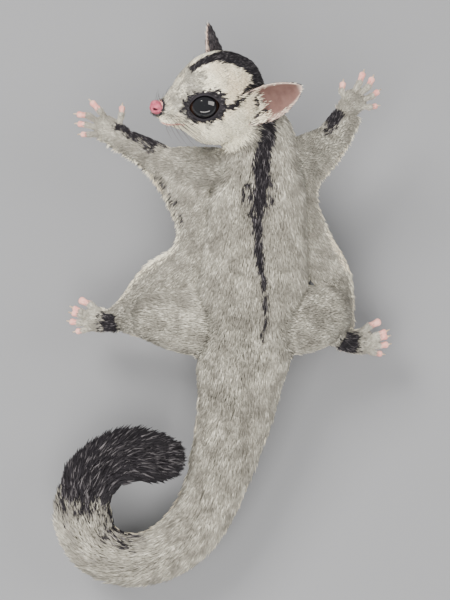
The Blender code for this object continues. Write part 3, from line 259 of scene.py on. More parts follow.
# %% Define the lofts
def smooth_rows(rows, per_span):
    """A smooth run through the rows, with per_span steps from each row to the next."""
    rows = np.array(rows, float)
    ends = np.vstack([2 * rows[0] - rows[1], rows, 2 * rows[-1] - rows[-2]])
    t = np.arange(per_span)[:, None] / per_span
    runs = []
    for a, b, c, d in zip(ends, ends[1:], ends[2:], ends[3:]):
        bend = (2 * a - 5 * b + 4 * c - d) * t**2 + (3 * b - a - 3 * c + d) * t**3
        runs.append(0.5 * (2 * b + (c - a) * t + bend))
    return np.vstack([*runs, rows[-1:]])


def directions(path):
    along = np.gradient(path, axis=0)
    return along / np.linalg.norm(along, axis=1)[:, None]


def loft(rows, sides=24, per_span=5, inset=0.0, round_ends=(1.0, 1.0), cap_rings=4):
    """Points and faces of a closed form through the rows, drawn in by the depth of the coat."""
    rows = smooth_rows(rows, per_span)
    rows[:, 3:] = np.maximum(rows[:, 3:] - inset, 0.3)
    path, along = rows[:, :3], directions(rows[:, :3])
    across = np.cross(along, UP)
    across /= np.linalg.norm(across, axis=1)[:, None]
    rise = np.cross(across, along)
    turn = 2 * math.pi * np.arange(sides) / sides
    high = np.sin(turn) > 0

    def ring(i, shift, scale):
        width, above, below = rows[i, 3:6] * scale
        tall = np.where(high, above, below) * np.sin(turn)
        wide = np.outer(width * np.cos(turn), across[i])
        return path[i] + shift * along[i] + wide + np.outer(tall, rise[i])

    def cap(i, way, roundness):
        reach = way * roundness * min(rows[i, 3:6])
        leans = [0.5 * math.pi * k / (cap_rings + 1) for k in range(1, cap_rings + 1)]
        return [ring(i, reach * math.sin(lean), math.cos(lean)) for lean in leans], path[i] + reach * along[i]

    first, first_pole = cap(0, -1.0, round_ends[0])
    last, last_pole = cap(len(rows) - 1, 1.0, round_ends[1])
    rings = [*first[::-1], *(ring(i, 0.0, 1.0) for i in range(len(rows))), *last]
    points = np.vstack([*rings, first_pole, last_pole])
    faces = []
    for r in range(len(rings) - 1):
        for s in range(sides):
            t = (s + 1) % sides
            faces.append((r * sides + s, r * sides + t, (r + 1) * sides + t, (r + 1) * sides + s))
    for r, pole in ((0, len(points) - 2), (len(rings) - 1, len(points) - 1)):
        faces.extend((r * sides + s, r * sides + (s + 1) % sides, pole) for s in range(sides))
    return points, faces


def ball(middle, radii, sides=24, rings=14):
    """Points and faces of an ellipsoid."""
    rows = [(0.0, 0.0, -1.0)]
    for lean in np.linspace(0, math.pi, rings + 1)[1:-1]:
        turn = 2 * math.pi * np.arange(sides) / sides
        ring = np.column_stack([math.sin(lean) * np.cos(turn), math.sin(lean) * np.sin(turn),
                                np.full(sides, -math.cos(lean))])
        rows.extend(ring)
    rows.append((0.0, 0.0, 1.0))
    points = np.array(middle) + np.array(rows) * np.array(radii)
    faces = [(0, 1 + (s + 1) % sides, 1 + s) for s in range(sides)]
    for r in range(rings - 2):
        for s in range(sides):
            a, t = 1 + r * sides, (s + 1) % sides
            faces.append((a + s, a + t, a + sides + t, a + sides + s))
    last = len(points) - 1
    faces.extend((last, last - sides + s, last - sides + (s + 1) % sides) for s in range(sides))
    return points, faces


def tube(line, radii, sides=10, closed=False):
    """Points and faces of a round tube along a line of points, closed on itself or capped flat at both ends.
    """
    line = [Vector(point) for point in line]
    count = len(line)
    points, faces = [], []
    across = None
    for i, here in enumerate(line):
        before = line[(i - 1) % count] if closed else line[max(i - 1, 0)]
        after = line[(i + 1) % count] if closed else line[min(i + 1, count - 1)]
        along = (after - before).normalized()
        across = along.orthogonal() if across is None else across - along * across.dot(along)
        across.normalize()
        over = along.cross(across)
        for turn in 2 * math.pi * np.arange(sides) / sides:
            points.append(here + float(radii[i]) * (math.cos(turn) * across + math.sin(turn) * over))
    for r in range(count if closed else count - 1):
        for s in range(sides):
            t, n = (s + 1) % sides, (r + 1) % count
            faces.append((r * sides + s, r * sides + t, n * sides + t, n * sides + s))
    if not closed:
        faces.append(tuple(range(sides)))
        faces.append(tuple((count - 1) * sides + s for s in range(sides)))
    return points, faces


def placed(form, matrix):
    """The form moved by a matrix, still in millimetres."""
    points, faces = form
    return [matrix @ Vector(point) for point in points], faces


# %% [markdown]
# ## From forms to one mesh
# A mesh object is made in world metres with its origin at the world's, so a pattern on Object coordinates
# stays put.

# %% Define how a mesh object is made and how modifiers are applied
def piece(name, forms, place=GLIDER):
    """One mesh object from several forms in body millimetres, its faces turned outwards."""
    work = bmesh.new()
    for points, faces in forms:
        corners = [work.verts.new(MM * (place @ Vector(point))) for point in points]
        for face in faces:
            work.faces.new([corners[i] for i in face])
    bmesh.ops.recalc_face_normals(work, faces=work.faces)
    mesh = bpy.data.meshes.new(name)
    work.to_mesh(mesh)
    work.free()
    thing = bpy.data.objects.new(name, mesh)
    bpy.context.scene.collection.objects.link(thing)
    return thing


def applied(thing):
    """The object with its modifiers turned into plain mesh."""
    graph = bpy.context.evaluated_depsgraph_get()
    mesh = bpy.data.meshes.new_from_object(thing.evaluated_get(graph))
    thing.modifiers.clear()
    thing.data = mesh
    return thing


def melted(name, forms, voxel, soften):
    """One soft closed skin over overlapping forms."""
    thing = piece(name, forms)
    skin = thing.modifiers.new("melt", "REMESH")
    skin.mode = "VOXEL"
    skin.voxel_size = voxel * MM
    soft = thing.modifiers.new("soften", "SMOOTH")
    soft.factor = 0.5
    soft.iterations = soften
    return applied(thing)


def boolean(thing, operation, others):
    """The object cut by, or joined with, the others, which are removed."""
    group = bpy.data.collections.new("tools")
    bpy.context.scene.collection.children.link(group)
    for other in others:
        group.objects.link(other)
    change = thing.modifiers.new("change", "BOOLEAN")
    change.operation = operation
    change.operand_type = "COLLECTION"
    change.collection = group
    change.solver = "MANIFOLD"
    applied(thing)
    for other in others:
        bpy.data.objects.remove(other)
    bpy.data.collections.remove(group)
    return thing


# %% [markdown]
# ## Trunk, limbs, tail and membranes
# Everything from neck to ankles is melted as one body. The tail's rows are thinned from the brush on, as
# only its core is flesh. A membrane is a thin plate that billows a little between flank and edge.

# %% Gather the forms of the body
def membrane_plate(pairs, across=10, per_span=4):
    rows = smooth_rows([[*inner, *outer] for inner, outer in pairs], per_span)
    s = np.arange(across + 1) / across
    thick = lerp(MEMBRANE_ROOT, MEMBRANE_EDGE, np.minimum(1.0, 1.25 * s))
    lift = MEMBRANE_BILLOW * np.sin(math.pi * s)
    middle = lerp(rows[:, None, :3], rows[:, None, 3:], s[None, :, None])
    middle[:, :, 2] += lift
    layers = []
    for face in (1.0, -1.0):
        layer = middle.copy()
        layer[:, :, 2] += face * thick
        layers.append(layer.reshape(-1, 3))
    count, row = len(rows), across + 1
    faces = []
    for layer in range(2):
        for i in range(count - 1):
            a = layer * count * row + i * row
            faces.extend((a + j, a + j + 1, a + row + j + 1, a + row + j) for j in range(across))
    border = [(0, j) for j in range(row)] + [(i, across) for i in range(1, count)]
    border += [(count - 1, j) for j in range(across - 1, -1, -1)] + [(i, 0) for i in range(count - 2, 0, -1)]
    for (i, j), (k, m) in zip(border, border[1:] + border[:1]):
        a, b = i * row + j, k * row + m
        faces.append((a, b, b + count * row, a + count * row))
    return np.vstack(layers), faces


def core_rows():
    """The tail's rows with the coat taken off, thinned to the core along the brush."""
    rows = np.array(TAIL, float)
    for i, row in enumerate(rows):
        bush = min(max((i - BRUSH_ROW) / SHOULDER_ROWS, 0.0), 1.0)
        row[3:] = lerp(row[3:] - DEPTH["tail"], row[3:] * CORE_SHARE, bush)
    return rows


body_forms = [loft(TRUNK, 40, inset=DEPTH["trunk"]), loft(NECK, 40, inset=DEPTH["neck"]),
              loft(TAIL[:4], 40, inset=DEPTH["trunk"]), loft(core_rows(), 32),
              placed(ball(NAPE_BALL[0], Vector(NAPE_BALL[1]) - Vector((1, 1, 1)) * DEPTH["neck"]), HEAD)]
for limb, lengths in LIMBS.items():
    body_forms += [loft(rows, 24, inset=DEPTH[limb[:3]]) for rows in lengths]
body_forms += [membrane_plate(pairs) for pairs in MEMBRANES.values()]

# %% Gather the forms of the head
def head_loft(rows, sides, inset):
    return placed(loft([(x, 0, z, w, a, b) for x, z, w, a, b in rows], sides, inset=inset), HEAD)


head_forms = [head_loft([(*row[:2], *(v - lerp(DEPTH["head"], DEPTH["face"], min(max(row[0] / 20, 0), 1))
                                      for v in row[2:])) for row in SKULL], 48, 0.0),
              head_loft(JAW, 32, DEPTH["face"]),
              loft(NECK, 40, inset=DEPTH["neck"] + 0.5)]
for side in SIDES.values():
    for (middle, radii), shed in ((CHEEK, DEPTH["head"]), (WHISKER_PAD, DEPTH["face"]),
                                  ((EYE_PLACE, (EYE_RADIUS + 1.1,) * 3), 0.3)):
        head_forms.append(placed(ball(to_side(middle, side), Vector(radii) - Vector((1, 1, 1)) * shed), HEAD))

# %% Gather the forms of the hands and feet
def digit_line(paw, digit):
    """Base, middle joint, pad and the way that the pad points."""
    base, middle, tip = (Vector((*flat, level)) for flat, level in zip(digit[:3], paw["levels"]))
    return base, middle, tip, (tip - middle).normalized()


def paw_forms(paw):
    forms = [loft(paw["palm"], 24, round_ends=(0.6, 0.7))]
    for k, digit in enumerate(paw["digits"]):
        base, middle, tip, run = digit_line(paw, digit)
        r = digit[3]
        pad = tip - run * (CLAW_LENGTH * 0.9 if k != paw["clawless"] else 0.8)
        rows = [(*base, r * 1.05, r, r), (*base.lerp(middle, 0.6), r * 0.86, r * 0.84, r * 0.84),
                (*middle, r * 0.98, r * 0.95, r * 0.9), (*middle.lerp(pad, 0.5), r * 0.82, r * 0.76, r * 0.8),
                (*pad, r * 1.0, r * 0.8, r * 1.0)]
        forms.append(loft(rows, 16, per_span=4))
        forms.append(ball(pad - Vector((0, 0, r * 0.35)) - run * 0.3, (r * 0.95, r * 0.95, r * 0.75), 12, 8))
    return forms


print("forms of the body and the head:", len(body_forms), len(head_forms))

# %% [markdown]
# ## Melt, then join
# A voxel remesh melts overlapping forms as skin does over flesh. The body takes coarse voxels, the head
# finer ones and the hands the finest, and a boolean union makes one closed surface of them.

# %% Melt the body, the head and the paws into one skin
# Voxel in millimetres, and how many times it is softened
BODY_MELT, HEAD_MELT, PAW_MELT = (0.85, 10), (0.5, 7), (0.3, 4)
skin = melted("skin", body_forms, *BODY_MELT)
head_skin = melted("head_skin", head_forms, *HEAD_MELT)
paw_skins = []
for name, paw in PAWS.items():
    paw_skin = melted(name, paw_forms(paw), *PAW_MELT)
    thin = paw_skin.modifiers.new("thin", "DECIMATE")
    thin.ratio = 0.4
    paw_skins.append(applied(paw_skin))
boolean(skin, "UNION", [head_skin, *paw_skins])
print("skin:", len(skin.data.polygons), "faces")

# %% [markdown]
# ## Eyelids
# Big night eyes bulge out of shallow orbits. Each lid is a soft rim that follows the ball just outside it,
# and the flesh in front of the ball is cut away inside the rim.

# %% Add the lids and open the eyes
def eye_axes(side):
    """Out of the face, along the opening, and across it."""
    out = unit(to_side(EYE_WAY, side))
    along = unit(Vector((1.0, 0.0, -0.25)) - out * (out.x - 0.25 * out.z))
    across = out.cross(along)
    return out, along, across


def lid_line(side, grow, radius, steps=64):
    """Points round the opening on a ball of that radius."""
    out, along, across = eye_axes(side)
    line = []
    for turn in 2 * math.pi * np.arange(steps) / steps:
        long = LID_LONG + LID_CORNER * abs(math.cos(turn)) ** 7 + grow
        flat = along * (math.cos(turn) * long) + across * (math.sin(turn) * (LID_SHORT + grow))
        line.append(to_side(EYE_PLACE, side) + flat + out * math.sqrt(radius**2 - flat.length_squared))
    return line


def prism(low, high):
    """Points and faces of the block between two rings of points."""
    n = len(low)
    faces = [(k, (k + 1) % n, n + (k + 1) % n, n + k) for k in range(n)]
    return [*low, *high], [*faces, tuple(range(n)), tuple(range(n, 2 * n))]


lids = [piece("lid", [placed(tube(lid_line(side, 0.1, EYE_RADIUS + 0.45), [0.6] * 64, 12, True), HEAD)])
        for side in SIDES.values()]
boolean(skin, "UNION", lids)
openings = []
for side in SIDES.values():
    out = eye_axes(side)[0]
    ring = lid_line(side, -0.35, EYE_RADIUS + 0.3)
    deep = [point - out * 5.0 for point in ring]
    high = [point + out * 9.0 for point in ring]
    socket = ball(to_side(EYE_PLACE, side), (EYE_RADIUS + 0.12,) * 3, 48, 32)
    openings += [piece("opening", [placed(prism(deep, high), HEAD)]),
                 piece("socket", [placed(socket, HEAD)])]
boolean(skin, "DIFFERENCE", openings)

# %% [markdown]
# ## Mouth
# The mouth runs round under the snout. Rays cast in from all round find the skin at its level; soft lips
# are laid along those points and a fine groove between them is cut last.

# %% Find the mouth, add lips and cut the groove
def mouth_points(turns, sunk):
    tree = BVHTree.FromObject(skin, bpy.context.evaluated_depsgraph_get())
    world = Matrix.Scale(MM, 4) @ GLIDER @ HEAD
    back = world.inverted()
    line = []
    for turn in turns:
        out = Vector((math.cos(turn), math.sin(turn), 0.0))
        middle = Vector((MOUTH_MIDDLE, 0.0, MOUTH_LEVEL + MOUTH_RISE * (turn / MOUTH_TURN) ** 2))
        hit = tree.ray_cast(world @ (middle + out * 30.0), (world.to_3x3() @ -out).normalized())[0]
        line.append(back @ hit - out * sunk)
    return line


mouth_turns = MOUTH_TURN * np.linspace(1, -1, 41)
mouth = mouth_points(mouth_turns, 0.25)
taper = 0.25 + 0.4 * np.sqrt(np.clip(1 - (mouth_turns / MOUTH_TURN) ** 2, 0, 1))
boolean(skin, "UNION", [piece("lips", [placed(tube(mouth, taper, 10), HEAD)])])
groove = mouth_points(mouth_turns[2:-2], 0.02)
boolean(skin, "DIFFERENCE", [piece("groove", [placed(tube(groove, [0.28] * 37, 6), HEAD)])])
print("skin with lids and lips:", len(skin.data.polygons), "faces")

# %% [markdown]
# ## An unwrap of the skin
# Every tuft later takes its colour from one spot of the skin, so the skin is unwrapped by its own shape.

# %% Unwrap the skin
def unwrapped(thing):
    bpy.context.view_layer.objects.active = thing
    thing.select_set(True)
    bpy.ops.object.mode_set(mode="EDIT")
    bpy.ops.mesh.select_all(action="SELECT")
    bpy.ops.uv.smart_project(angle_limit=math.radians(66), island_margin=0.001)
    bpy.ops.object.mode_set(mode="OBJECT")
    thing.select_set(False)
    thing.data.uv_layers.active.name = "unwrap"


unwrapped(skin)

# %% [markdown]
# ## Which way the hair lies
# Hair runs from nose to tail and from shoulder to fingers. Each part of the body is sampled along its own
# middle line, with the way that its hair runs there; every point of the skin takes the way of the part it
# lies on and blends it with its neighbours. The same lookup gives the hair's length, width and depth.

# %% Sample the middle lines
# Part: hair length, width and depth
HAIR = {"trunk": (5.0, 0.62, 2.2), "neck": (4.0, 0.55, 1.9), "tail": (6.0, 0.68, 2.4),
        "brush": (10.5, 0.95, 6.2), "arm": (2.8, 0.45, 1.0), "leg": (3.4, 0.50, 1.3),
        "hand": (1.2, 0.26, 0.3), "foot": (1.3, 0.28, 0.3), "membrane": (3.0, 0.50, 0.7),
        "head": (2.2, 0.36, 0.9), "face": (1.2, 0.26, 0.45)}
TIP_SHORTER = 0.38              # how much shorter the brush's hair is at the tail's very tip


def axis(rows, per_span=4, inset=0.0, matrix=None, flip=1.0):
    """Middles, ways and radii along a loft."""
    rows = smooth_rows(rows, per_span)
    path, radius = rows[:, :3], rows[:, 3:].mean(axis=1) - inset
    if matrix is not None:
        path = np.array([matrix @ Vector(point) for point in path])
    return path, flip * directions(path), radius


AXES = {"trunk": axis(TRUNK, inset=2.2), "neck": axis(NECK, inset=2.0, flip=-1.0), "tail": axis(core_rows())}
for limb, lengths in LIMBS.items():
    AXES[limb] = axis([*lengths[0][:-1], *lengths[1][1:]], inset=DEPTH[limb[:3]])
for name, paw in PAWS.items():
    AXES[name] = axis(paw["palm"])
    for k, digit in enumerate(paw["digits"]):
        base, middle, tip, run = digit_line(paw, digit)
        AXES[f"{name}_digit_{k}"] = axis([(*point, *(digit[3],) * 3) for point in (base, middle, tip)])
AXES["head"] = axis([(x, 0, z, w, a, b) for x, z, w, a, b in SKULL], inset=0.9, matrix=HEAD, flip=-1.0)
for side, pairs in MEMBRANES.items():
    rows = smooth_rows([[*inner, *outer] for inner, outer in pairs], 3)
    shares = np.linspace(0.25, 1.0, 8)
    path = np.vstack([lerp(rows[:, :3], rows[:, 3:], s) + [0, 0, MEMBRANE_BILLOW * math.sin(math.pi * s)]
                      for s in shares])
    outward = rows[:, 3:] - rows[:, :3]
    outward /= np.linalg.norm(outward, axis=1)[:, None]
    ways = np.vstack([0.55 * outward + [0, -0.8, 0]] * len(shares))
    AXES[f"membrane_{side}"] = (path, ways, np.full(len(path), 1.1))
MEMBRANE_SHARE = np.repeat(shares, len(rows))

# %% Look up every point of the skin
def in_body(thing):
    """Points and normals of a mesh in body millimetres."""
    mesh = thing.data
    points, normals = np.empty(len(mesh.vertices) * 3), np.empty(len(mesh.vertices) * 3)
    mesh.vertices.foreach_get("co", points)
    mesh.vertex_normals.foreach_get("vector", normals)
    back = np.array((Matrix.Scale(MM, 4) @ GLIDER).inverted())
    turn = np.array(GLIDER.inverted().to_3x3())
    return points.reshape(-1, 3) @ back[:3, :3].T + back[:3, 3], normals.reshape(-1, 3) @ turn.T


def looked_up(points):
    """For each point: the nearest sample on every part, how much each part counts, and the nearest part."""
    far, near = {}, {}
    for name, (path, ways, radius) in AXES.items():
        best, where = np.full(len(points), 1e9), np.zeros(len(points), int)
        for k in range(len(path)):
            here = np.linalg.norm(points - path[k], axis=1) - radius[k]
            closer = here < best
            best[closer], where[closer] = here[closer], k
        far[name], near[name] = best, where
    table = np.array(list(far.values()))
    weight = np.exp(-(table - table.min(axis=0)) / 1.2)
    return near, weight / weight.sum(axis=0), np.array(list(AXES))[table.argmin(axis=0)]


skin_points, skin_normals = in_body(skin)
near, weight, part = looked_up(skin_points)
print("parts on the skin:", sorted({name.split("_digit")[0] for name in part}))

# %% [markdown]
# ## Markings
# A grey back, a cream belly that shows as a pale outline from above, one charcoal stripe from between the
# eyes to the loins, dark rings round the eyes, dark ankles and forearm edges, and a charcoal tail tip. Each
# mark is a distance to a line or a part, made ragged by noise. Three shares are kept for every point:
# dark, cream and bare skin; the dark share also holds painted shade on the inner side of the tail's curl.
# The material turns them into colour, on the skin and on the coat alike. The far side of the face mirrors
# the near one, which the picture shows.

# %% Define soft steps, noise and distances
def soft(value, low, high):
    t = np.clip((value - low) / (high - low), 0, 1)
    return t * t * (3 - 2 * t)


def ragged(points, size):
    """Noise from about -1 to 1 that changes over a length of size millimetres."""
    return 1.6 * np.array([noise.noise(point) for point in (points / size).tolist()])


def from_line(points, start, end):
    """Distance to the stretch between two points."""
    start, way = np.array(start, float), np.array(end, float) - np.array(start, float)
    t = np.clip((points - start) @ way / (way @ way), 0, 1)
    return np.linalg.norm(points - start - t[:, None] * way, axis=1)


# %% Write where the marks lie
# The back's stripe: y, x of its middle, half width
STRIPE = np.array([(76, .5, 4.5), (64, 3, 3.6), (53, 4, 3.3), (42.4, 2.6, 3.5), (26.4, 1.8, 3.0),
                   (13.5, .9, 2.2), (2.3, 1.4, 1.7), (-5.8, 2.2, 1.4), (-17.8, 4.2, 0.95),
                   (-28.3, 4.6, 0.8), (-48.4, .9, 0.5)])
BLOTCH = (26.0, 8.0, 4.6)       # y of the stripe's ragged patch, its half length, how much wider it is there
# The crown's stripe in the head's frame: x, half width
CROWN = np.array([(-21, 5.5), (-16, 7.4), (-12, 8.6), (-6, 7.8), (0, 5.8), (5, 3.8), (9, 2.6), (12, 2.0),
                  (14, 2.0), (16, 2.8)])
EYE_BAND = ((1.0, 15.0, 6.4), (-7.5, 12.0, 15.0))
EAR_BAND = ((-11.0, 3.0, 21.0), (-12.5, 12.0, 13.0))
TEAR_BAND = ((14.2, 9.6, 1.6), (18.6, 7.0, -0.6))
BROW = (13.5, 4.5, 12.0)        # middle of the greyer place over the eye
DARK_ROW = 9.3                  # row of TAIL where the charcoal begins
BEND_MIDDLE = (-60.0, -115.0, 4.0)


# %% Work out the marks of the head
def head_marks(points):
    """Dark and cream on the head, nearness to an eye's opening, and the head's own coordinates."""
    back = np.array(HEAD.inverted())
    h = points @ back[:3, :3].T + back[:3, 3]
    fine, broad = ragged(points, 1.3), ragged(points + 40, 4.0)
    mirrored = h.copy()
    mirrored[:, 1] = np.abs(h[:, 1])
    out, along, across = (np.array(way) for way in eye_axes(1))
    eye = mirrored - np.array(EYE_PLACE)
    ring = np.hypot(eye @ along / LID_LONG, eye @ across / LID_SHORT)
    ring = np.where(eye @ out > 0, ring, 9.0)
    crown = CROWN[CROWN[:, 0].argsort()]
    stripe = np.interp(h[:, 0], crown[:, 0], crown[:, 1], right=-3.0) - mirrored[:, 1]
    dark = soft(stripe + 0.9 * fine, -0.5, 0.6) * soft(h[:, 2], 3, 8)
    ends = soft(np.abs(eye @ along), 1.5, 7.0)
    dark = np.maximum(dark, soft(1.30 + 0.26 * ends + 0.26 * np.maximum(fine, -0.5) - ring, -0.05, 0.10))
    for band, wide in ((EYE_BAND, 2.0), (EAR_BAND, 4.9), (TEAR_BAND, 1.3)):
        gap = from_line(mirrored, *band)
        strength = 0.75 if band is TEAR_BAND else 1.0
        dark = np.maximum(dark, soft(wide + 1.1 * fine - gap, -0.4, 0.7) * strength)
    muzzle = soft(h[:, 0], 12, 21) * soft(h[:, 2], -9, -5)
    brow = soft(7.0 - np.linalg.norm(mirrored - BROW, axis=1), 0, 4)
    cream = 1.0 - 0.58 * muzzle - 0.35 * soft(broad, 0.05, 0.6) - 0.50 * brow - 0.2 * soft(1.9 - ring, 0, 0.4)
    return dark, np.clip(cream, 0, 1), ring, h


# %% Work out the marks of the body
def body_marks(points, normals, near, part):
    """Dark and cream on the trunk, the limbs, the membranes and the tail."""
    x, y = points.T[:2]
    fine, broad = ragged(points + 9, 1.5), ragged(points + 70, 5.0)
    rows = STRIPE[STRIPE[:, 0].argsort()]
    middle, half = np.interp(y, rows[:, 0], rows[:, 1]), np.interp(y, rows[:, 0], rows[:, 2])
    half = half + BLOTCH[2] * np.exp(-((y - BLOTCH[0]) / BLOTCH[1]) ** 2) * soft(fine, -0.2, 0.4)
    fading = soft(y + 12 * broad, -54, -34)
    dark = soft(half - np.abs(x - middle) + 0.8 * fine, -0.5, 0.6) * soft(normals[:, 2], 0.1, 0.4) * fading
    dark *= np.isin(part, ["trunk", "neck", "head"])
    cream = soft(-normals[:, 2], -0.30, 0.15)

    def side_of(name):
        path = AXES[name][0]
        offset = points - path[near[name]]
        return offset / np.linalg.norm(offset, axis=1)[:, None], near[name] / (len(path) - 1)

    for name, way, low in (("arm_left", (-0.4, 0.9, 0.1), 0.42), ("arm_right", (-0.85, 0.5, 0.1), 0.38)):
        side, t = side_of(name)
        patch = soft(side @ np.array(way) + 0.35 * fine, 0.05, 0.4) * soft(t + 0.06 * broad, low, low + 0.12)
        dark = np.maximum(dark, patch * (part == name))
    side, t = side_of("hand_left")
    patch = soft(side @ np.array((0.5, 0.85, 0.1)) + 0.35 * fine, 0.2, 0.5) * soft(0.5 - t, 0, 0.3)
    dark = np.maximum(dark, patch * (part == "hand_left"))
    for leg, foot in (("leg_left", "foot_left"), ("leg_right", "foot_right")):
        side, t = side_of(leg)
        ankle = soft(t + 0.16 * fine + 0.12 * broad, 0.70, 0.84) * soft(normals[:, 2] + 0.5 * fine, -0.1, 0.4)
        dark = np.maximum(dark, ankle * (part == leg))
        t = near[foot] / (len(AXES[foot][0]) - 1)
        sole = soft(0.62 + 0.35 * fine - t, 0, 0.2) * soft(normals[:, 2], 0, 0.4)
        dark = np.maximum(dark, sole * (part == foot))
    for name in ("membrane_left", "membrane_right"):
        share = MEMBRANE_SHARE[near[name]]
        here = part == name
        cream = np.maximum(cream, soft(share, 0.84, 0.95) * here)
        hem = soft(share, 0.70, 0.76) * soft(0.92 - share, 0, 0.05) * soft(fine + 0.5 * broad, 0.05, 0.3)
        dark = np.maximum(dark, hem * here * (name == "membrane_left") * soft(y, 8, 14) * soft(44 - y, 0, 6))
    side, t = side_of("tail")
    row = t * (len(TAIL) - 1)
    tip = soft(row + 0.30 * fine + 0.25 * broad, DARK_ROW - 0.35, DARK_ROW + 0.25)
    # Painted shade: the inner side of the tail's curl, facing the middle of the bend, is darkened in broken
    # dashes. The scattered dark hairs added after them are the tail's own colour.
    inner = np.array(BEND_MIDDLE) - points
    inward = np.sum(side * inner, axis=1) / np.linalg.norm(inner, axis=1)
    curl_shade_and_dark_hairs = soft(inward + 0.3 * broad, -0.05, 0.40) * soft(row, 5.2, 7.2) * soft(fine, -0.20, 0.05)
    tail = part == "tail"
    curl_shade_and_dark_hairs = np.maximum(curl_shade_and_dark_hairs, 0.16 * soft(row, 4.5, 8.0) * soft(broad, -0.3, 0.3))
    dark = np.maximum(dark, np.maximum(tip, curl_shade_and_dark_hairs) * tail)
    return dark, cream * (1 - tip * tail), row


# %% Put the marks together for the whole skin
def marks_and_hair(points, normals, near, weight, part):
    """Marks, hair size in metres, and where hair grows, for points of the skin."""
    head_dark, head_cream, ring, h = head_marks(points)
    dark, cream, row = body_marks(points, normals, near, part)
    names = list(AXES)
    on_head = weight[names.index("head")]
    cheek = np.clip(on_head * 1.6, 0, 1) * soft(h[:, 0], -17, -9)
    head_dark *= np.clip(on_head * 2.0, 0, 1)
    cream = lerp(cream, head_cream, cheek)
    dark = np.maximum(dark, head_dark)
    bare = np.zeros(len(points))
    size = np.zeros((len(points), 3))
    for i, name in enumerate(names):
        kind = name.split("_")[0]
        hair = np.tile(HAIR[kind], (len(points), 1))
        if kind == "head":
            face = np.maximum(soft(h[:, 0], 4, 18), soft(2.0 - ring, 0, 0.7))[:, None]
            hair = lerp(hair, np.array(HAIR["face"]), face)
        if kind == "tail":
            bushy = soft(row, BRUSH_ROW - 0.5, BRUSH_ROW + 1.5)[:, None]
            hair = lerp(hair, np.array(HAIR["brush"]), bushy)
            hair[:, 0] *= 1 - TIP_SHORTER * soft(row, len(TAIL) - 2.6, len(TAIL) - 1.4)
        size += weight[i][:, None] * hair
        if kind in ("hand", "foot"):
            t = near[name] / (len(AXES[name][0]) - 1)
            naked = soft(t, 0.35, 0.8) if "digit" in name else np.zeros(len(row))
            bare += weight[i] * np.maximum(naked, soft(-normals[:, 2], -0.2, 0.3))
    snout = np.linalg.norm(h - (np.array(NOSE_PAD[0]) + [-0.6, 0, 0]), axis=1)
    bare = np.maximum(bare, soft(3.2 - snout, 0, 0.3) * (on_head > 0.5))
    dark = np.maximum(dark, 0.75 * soft(4.4 - snout, 0, 0.5) * (on_head > 0.5))
    turn = np.arctan2(h[:, 1], h[:, 0] - MOUTH_MIDDLE)
    level = MOUTH_LEVEL + MOUTH_RISE * (turn / MOUTH_TURN) ** 2
    beyond = soft(np.abs(turn), MOUTH_TURN * 0.96, MOUTH_TURN * 1.1)
    lip = np.abs(h[:, 2] - level) + 9 * beyond + 9 * (on_head < 0.5)
    bare = np.maximum(bare, 0.55 * soft(0.75 - lip, 0, 0.3))
    dark = np.maximum(dark, 0.9 * soft(0.35 - lip, 0, 0.15))
    lid = soft(1.11 - ring, 0, 0.04) * (on_head > 0.5)
    cover = (1 - np.clip(1.4 * bare, 0, 1)) * (1 - lid)
    return np.column_stack([dark, cream, bare, np.ones(len(points))]), size * MM, cover


marks, hair_size, cover = marks_and_hair(skin_points, skin_normals, near, weight, part)
print("dark, cream and bare shares of the skin:", marks[:, :3].mean(axis=0).round(2))

# %% [markdown]
# ## Storing it on the mesh
# Named attributes carry all this to the geometry nodes that grow the coat and to the materials.

# %% Store hair and marks as attributes
REGIONS = {"head": 0, "neck": 0, "trunk": 1, "membrane": 2, "arm": 3, "hand": 3, "leg": 4, "foot": 4,
           "tail": 5}
BRUSH_REGION, BELLY_REGION = 6, 7


def stored(thing, **values):
    for name, value in values.items():
        kind = {1: "FLOAT", 3: "FLOAT_VECTOR", 4: "FLOAT_COLOR"}[1 if value.ndim == 1 else value.shape[1]]
        layer = thing.data.attributes.new(name, kind, "POINT")
        key = {"FLOAT": "value", "FLOAT_VECTOR": "vector", "FLOAT_COLOR": "color"}[kind]
        layer.data.foreach_set(key, np.ascontiguousarray(value, np.float32).ravel())


def lie_of(normals, near, weight):
    """The way the hair lies, along the skin, in the world."""
    way = sum(weight[i][:, None] * AXES[name][1][near[name]] for i, name in enumerate(AXES))
    way -= normals * np.sum(way * normals, axis=1)[:, None]
    way /= np.maximum(np.linalg.norm(way, axis=1), 1e-6)[:, None]
    return way @ np.array(GLIDER.to_3x3()).T


tail_row = near["tail"] / (len(AXES["tail"][0]) - 1) * (len(TAIL) - 1)
region = np.array([REGIONS[name.split("_")[0]] for name in part], float)
region[(region == 5) & (tail_row > BRUSH_ROW)] = BRUSH_REGION
region[(region == 1) & (skin_normals[:, 2] < 0)] = BELLY_REGION
stored(skin, lie=lie_of(skin_normals, near, weight), size=hair_size, cover=cover, marks=marks, region=region)

# %% [markdown]
# ## Shader maths in Python
# A material here is written as sums. The class wraps a node's output, so that a + b or 1 - a adds the Math
# node that it stands for; every other node comes from one method of the bench that holds the tree.

# %% Define the bench and its wires
class Wire:
    """A socket that Python's operators work on."""

    def __init__(self, bench, socket):
        self.bench, self.socket = bench, socket

    def maths(self, operation, *values):
        return self.bench.node("ShaderNodeMath", {"operation": operation}, dict(enumerate(values)))

    def __add__(self, other):
        return self.maths("ADD", self, other)

    def __sub__(self, other):
        return self.maths("SUBTRACT", self, other)

    def __rsub__(self, other):
        return self.maths("SUBTRACT", other, self)

    def __mul__(self, other):
        return self.maths("MULTIPLY", self, other)

    __radd__, __rmul__ = __add__, __mul__

    def step(self, low, high):
        """0 below low, 1 above high, smooth between."""
        settings = {"interpolation_type": "SMOOTHSTEP", "clamp": True}
        return self.bench.node("ShaderNodeMapRange", settings, {0: self, 1: low, 2: high, 3: 0.0, 4: 1.0})


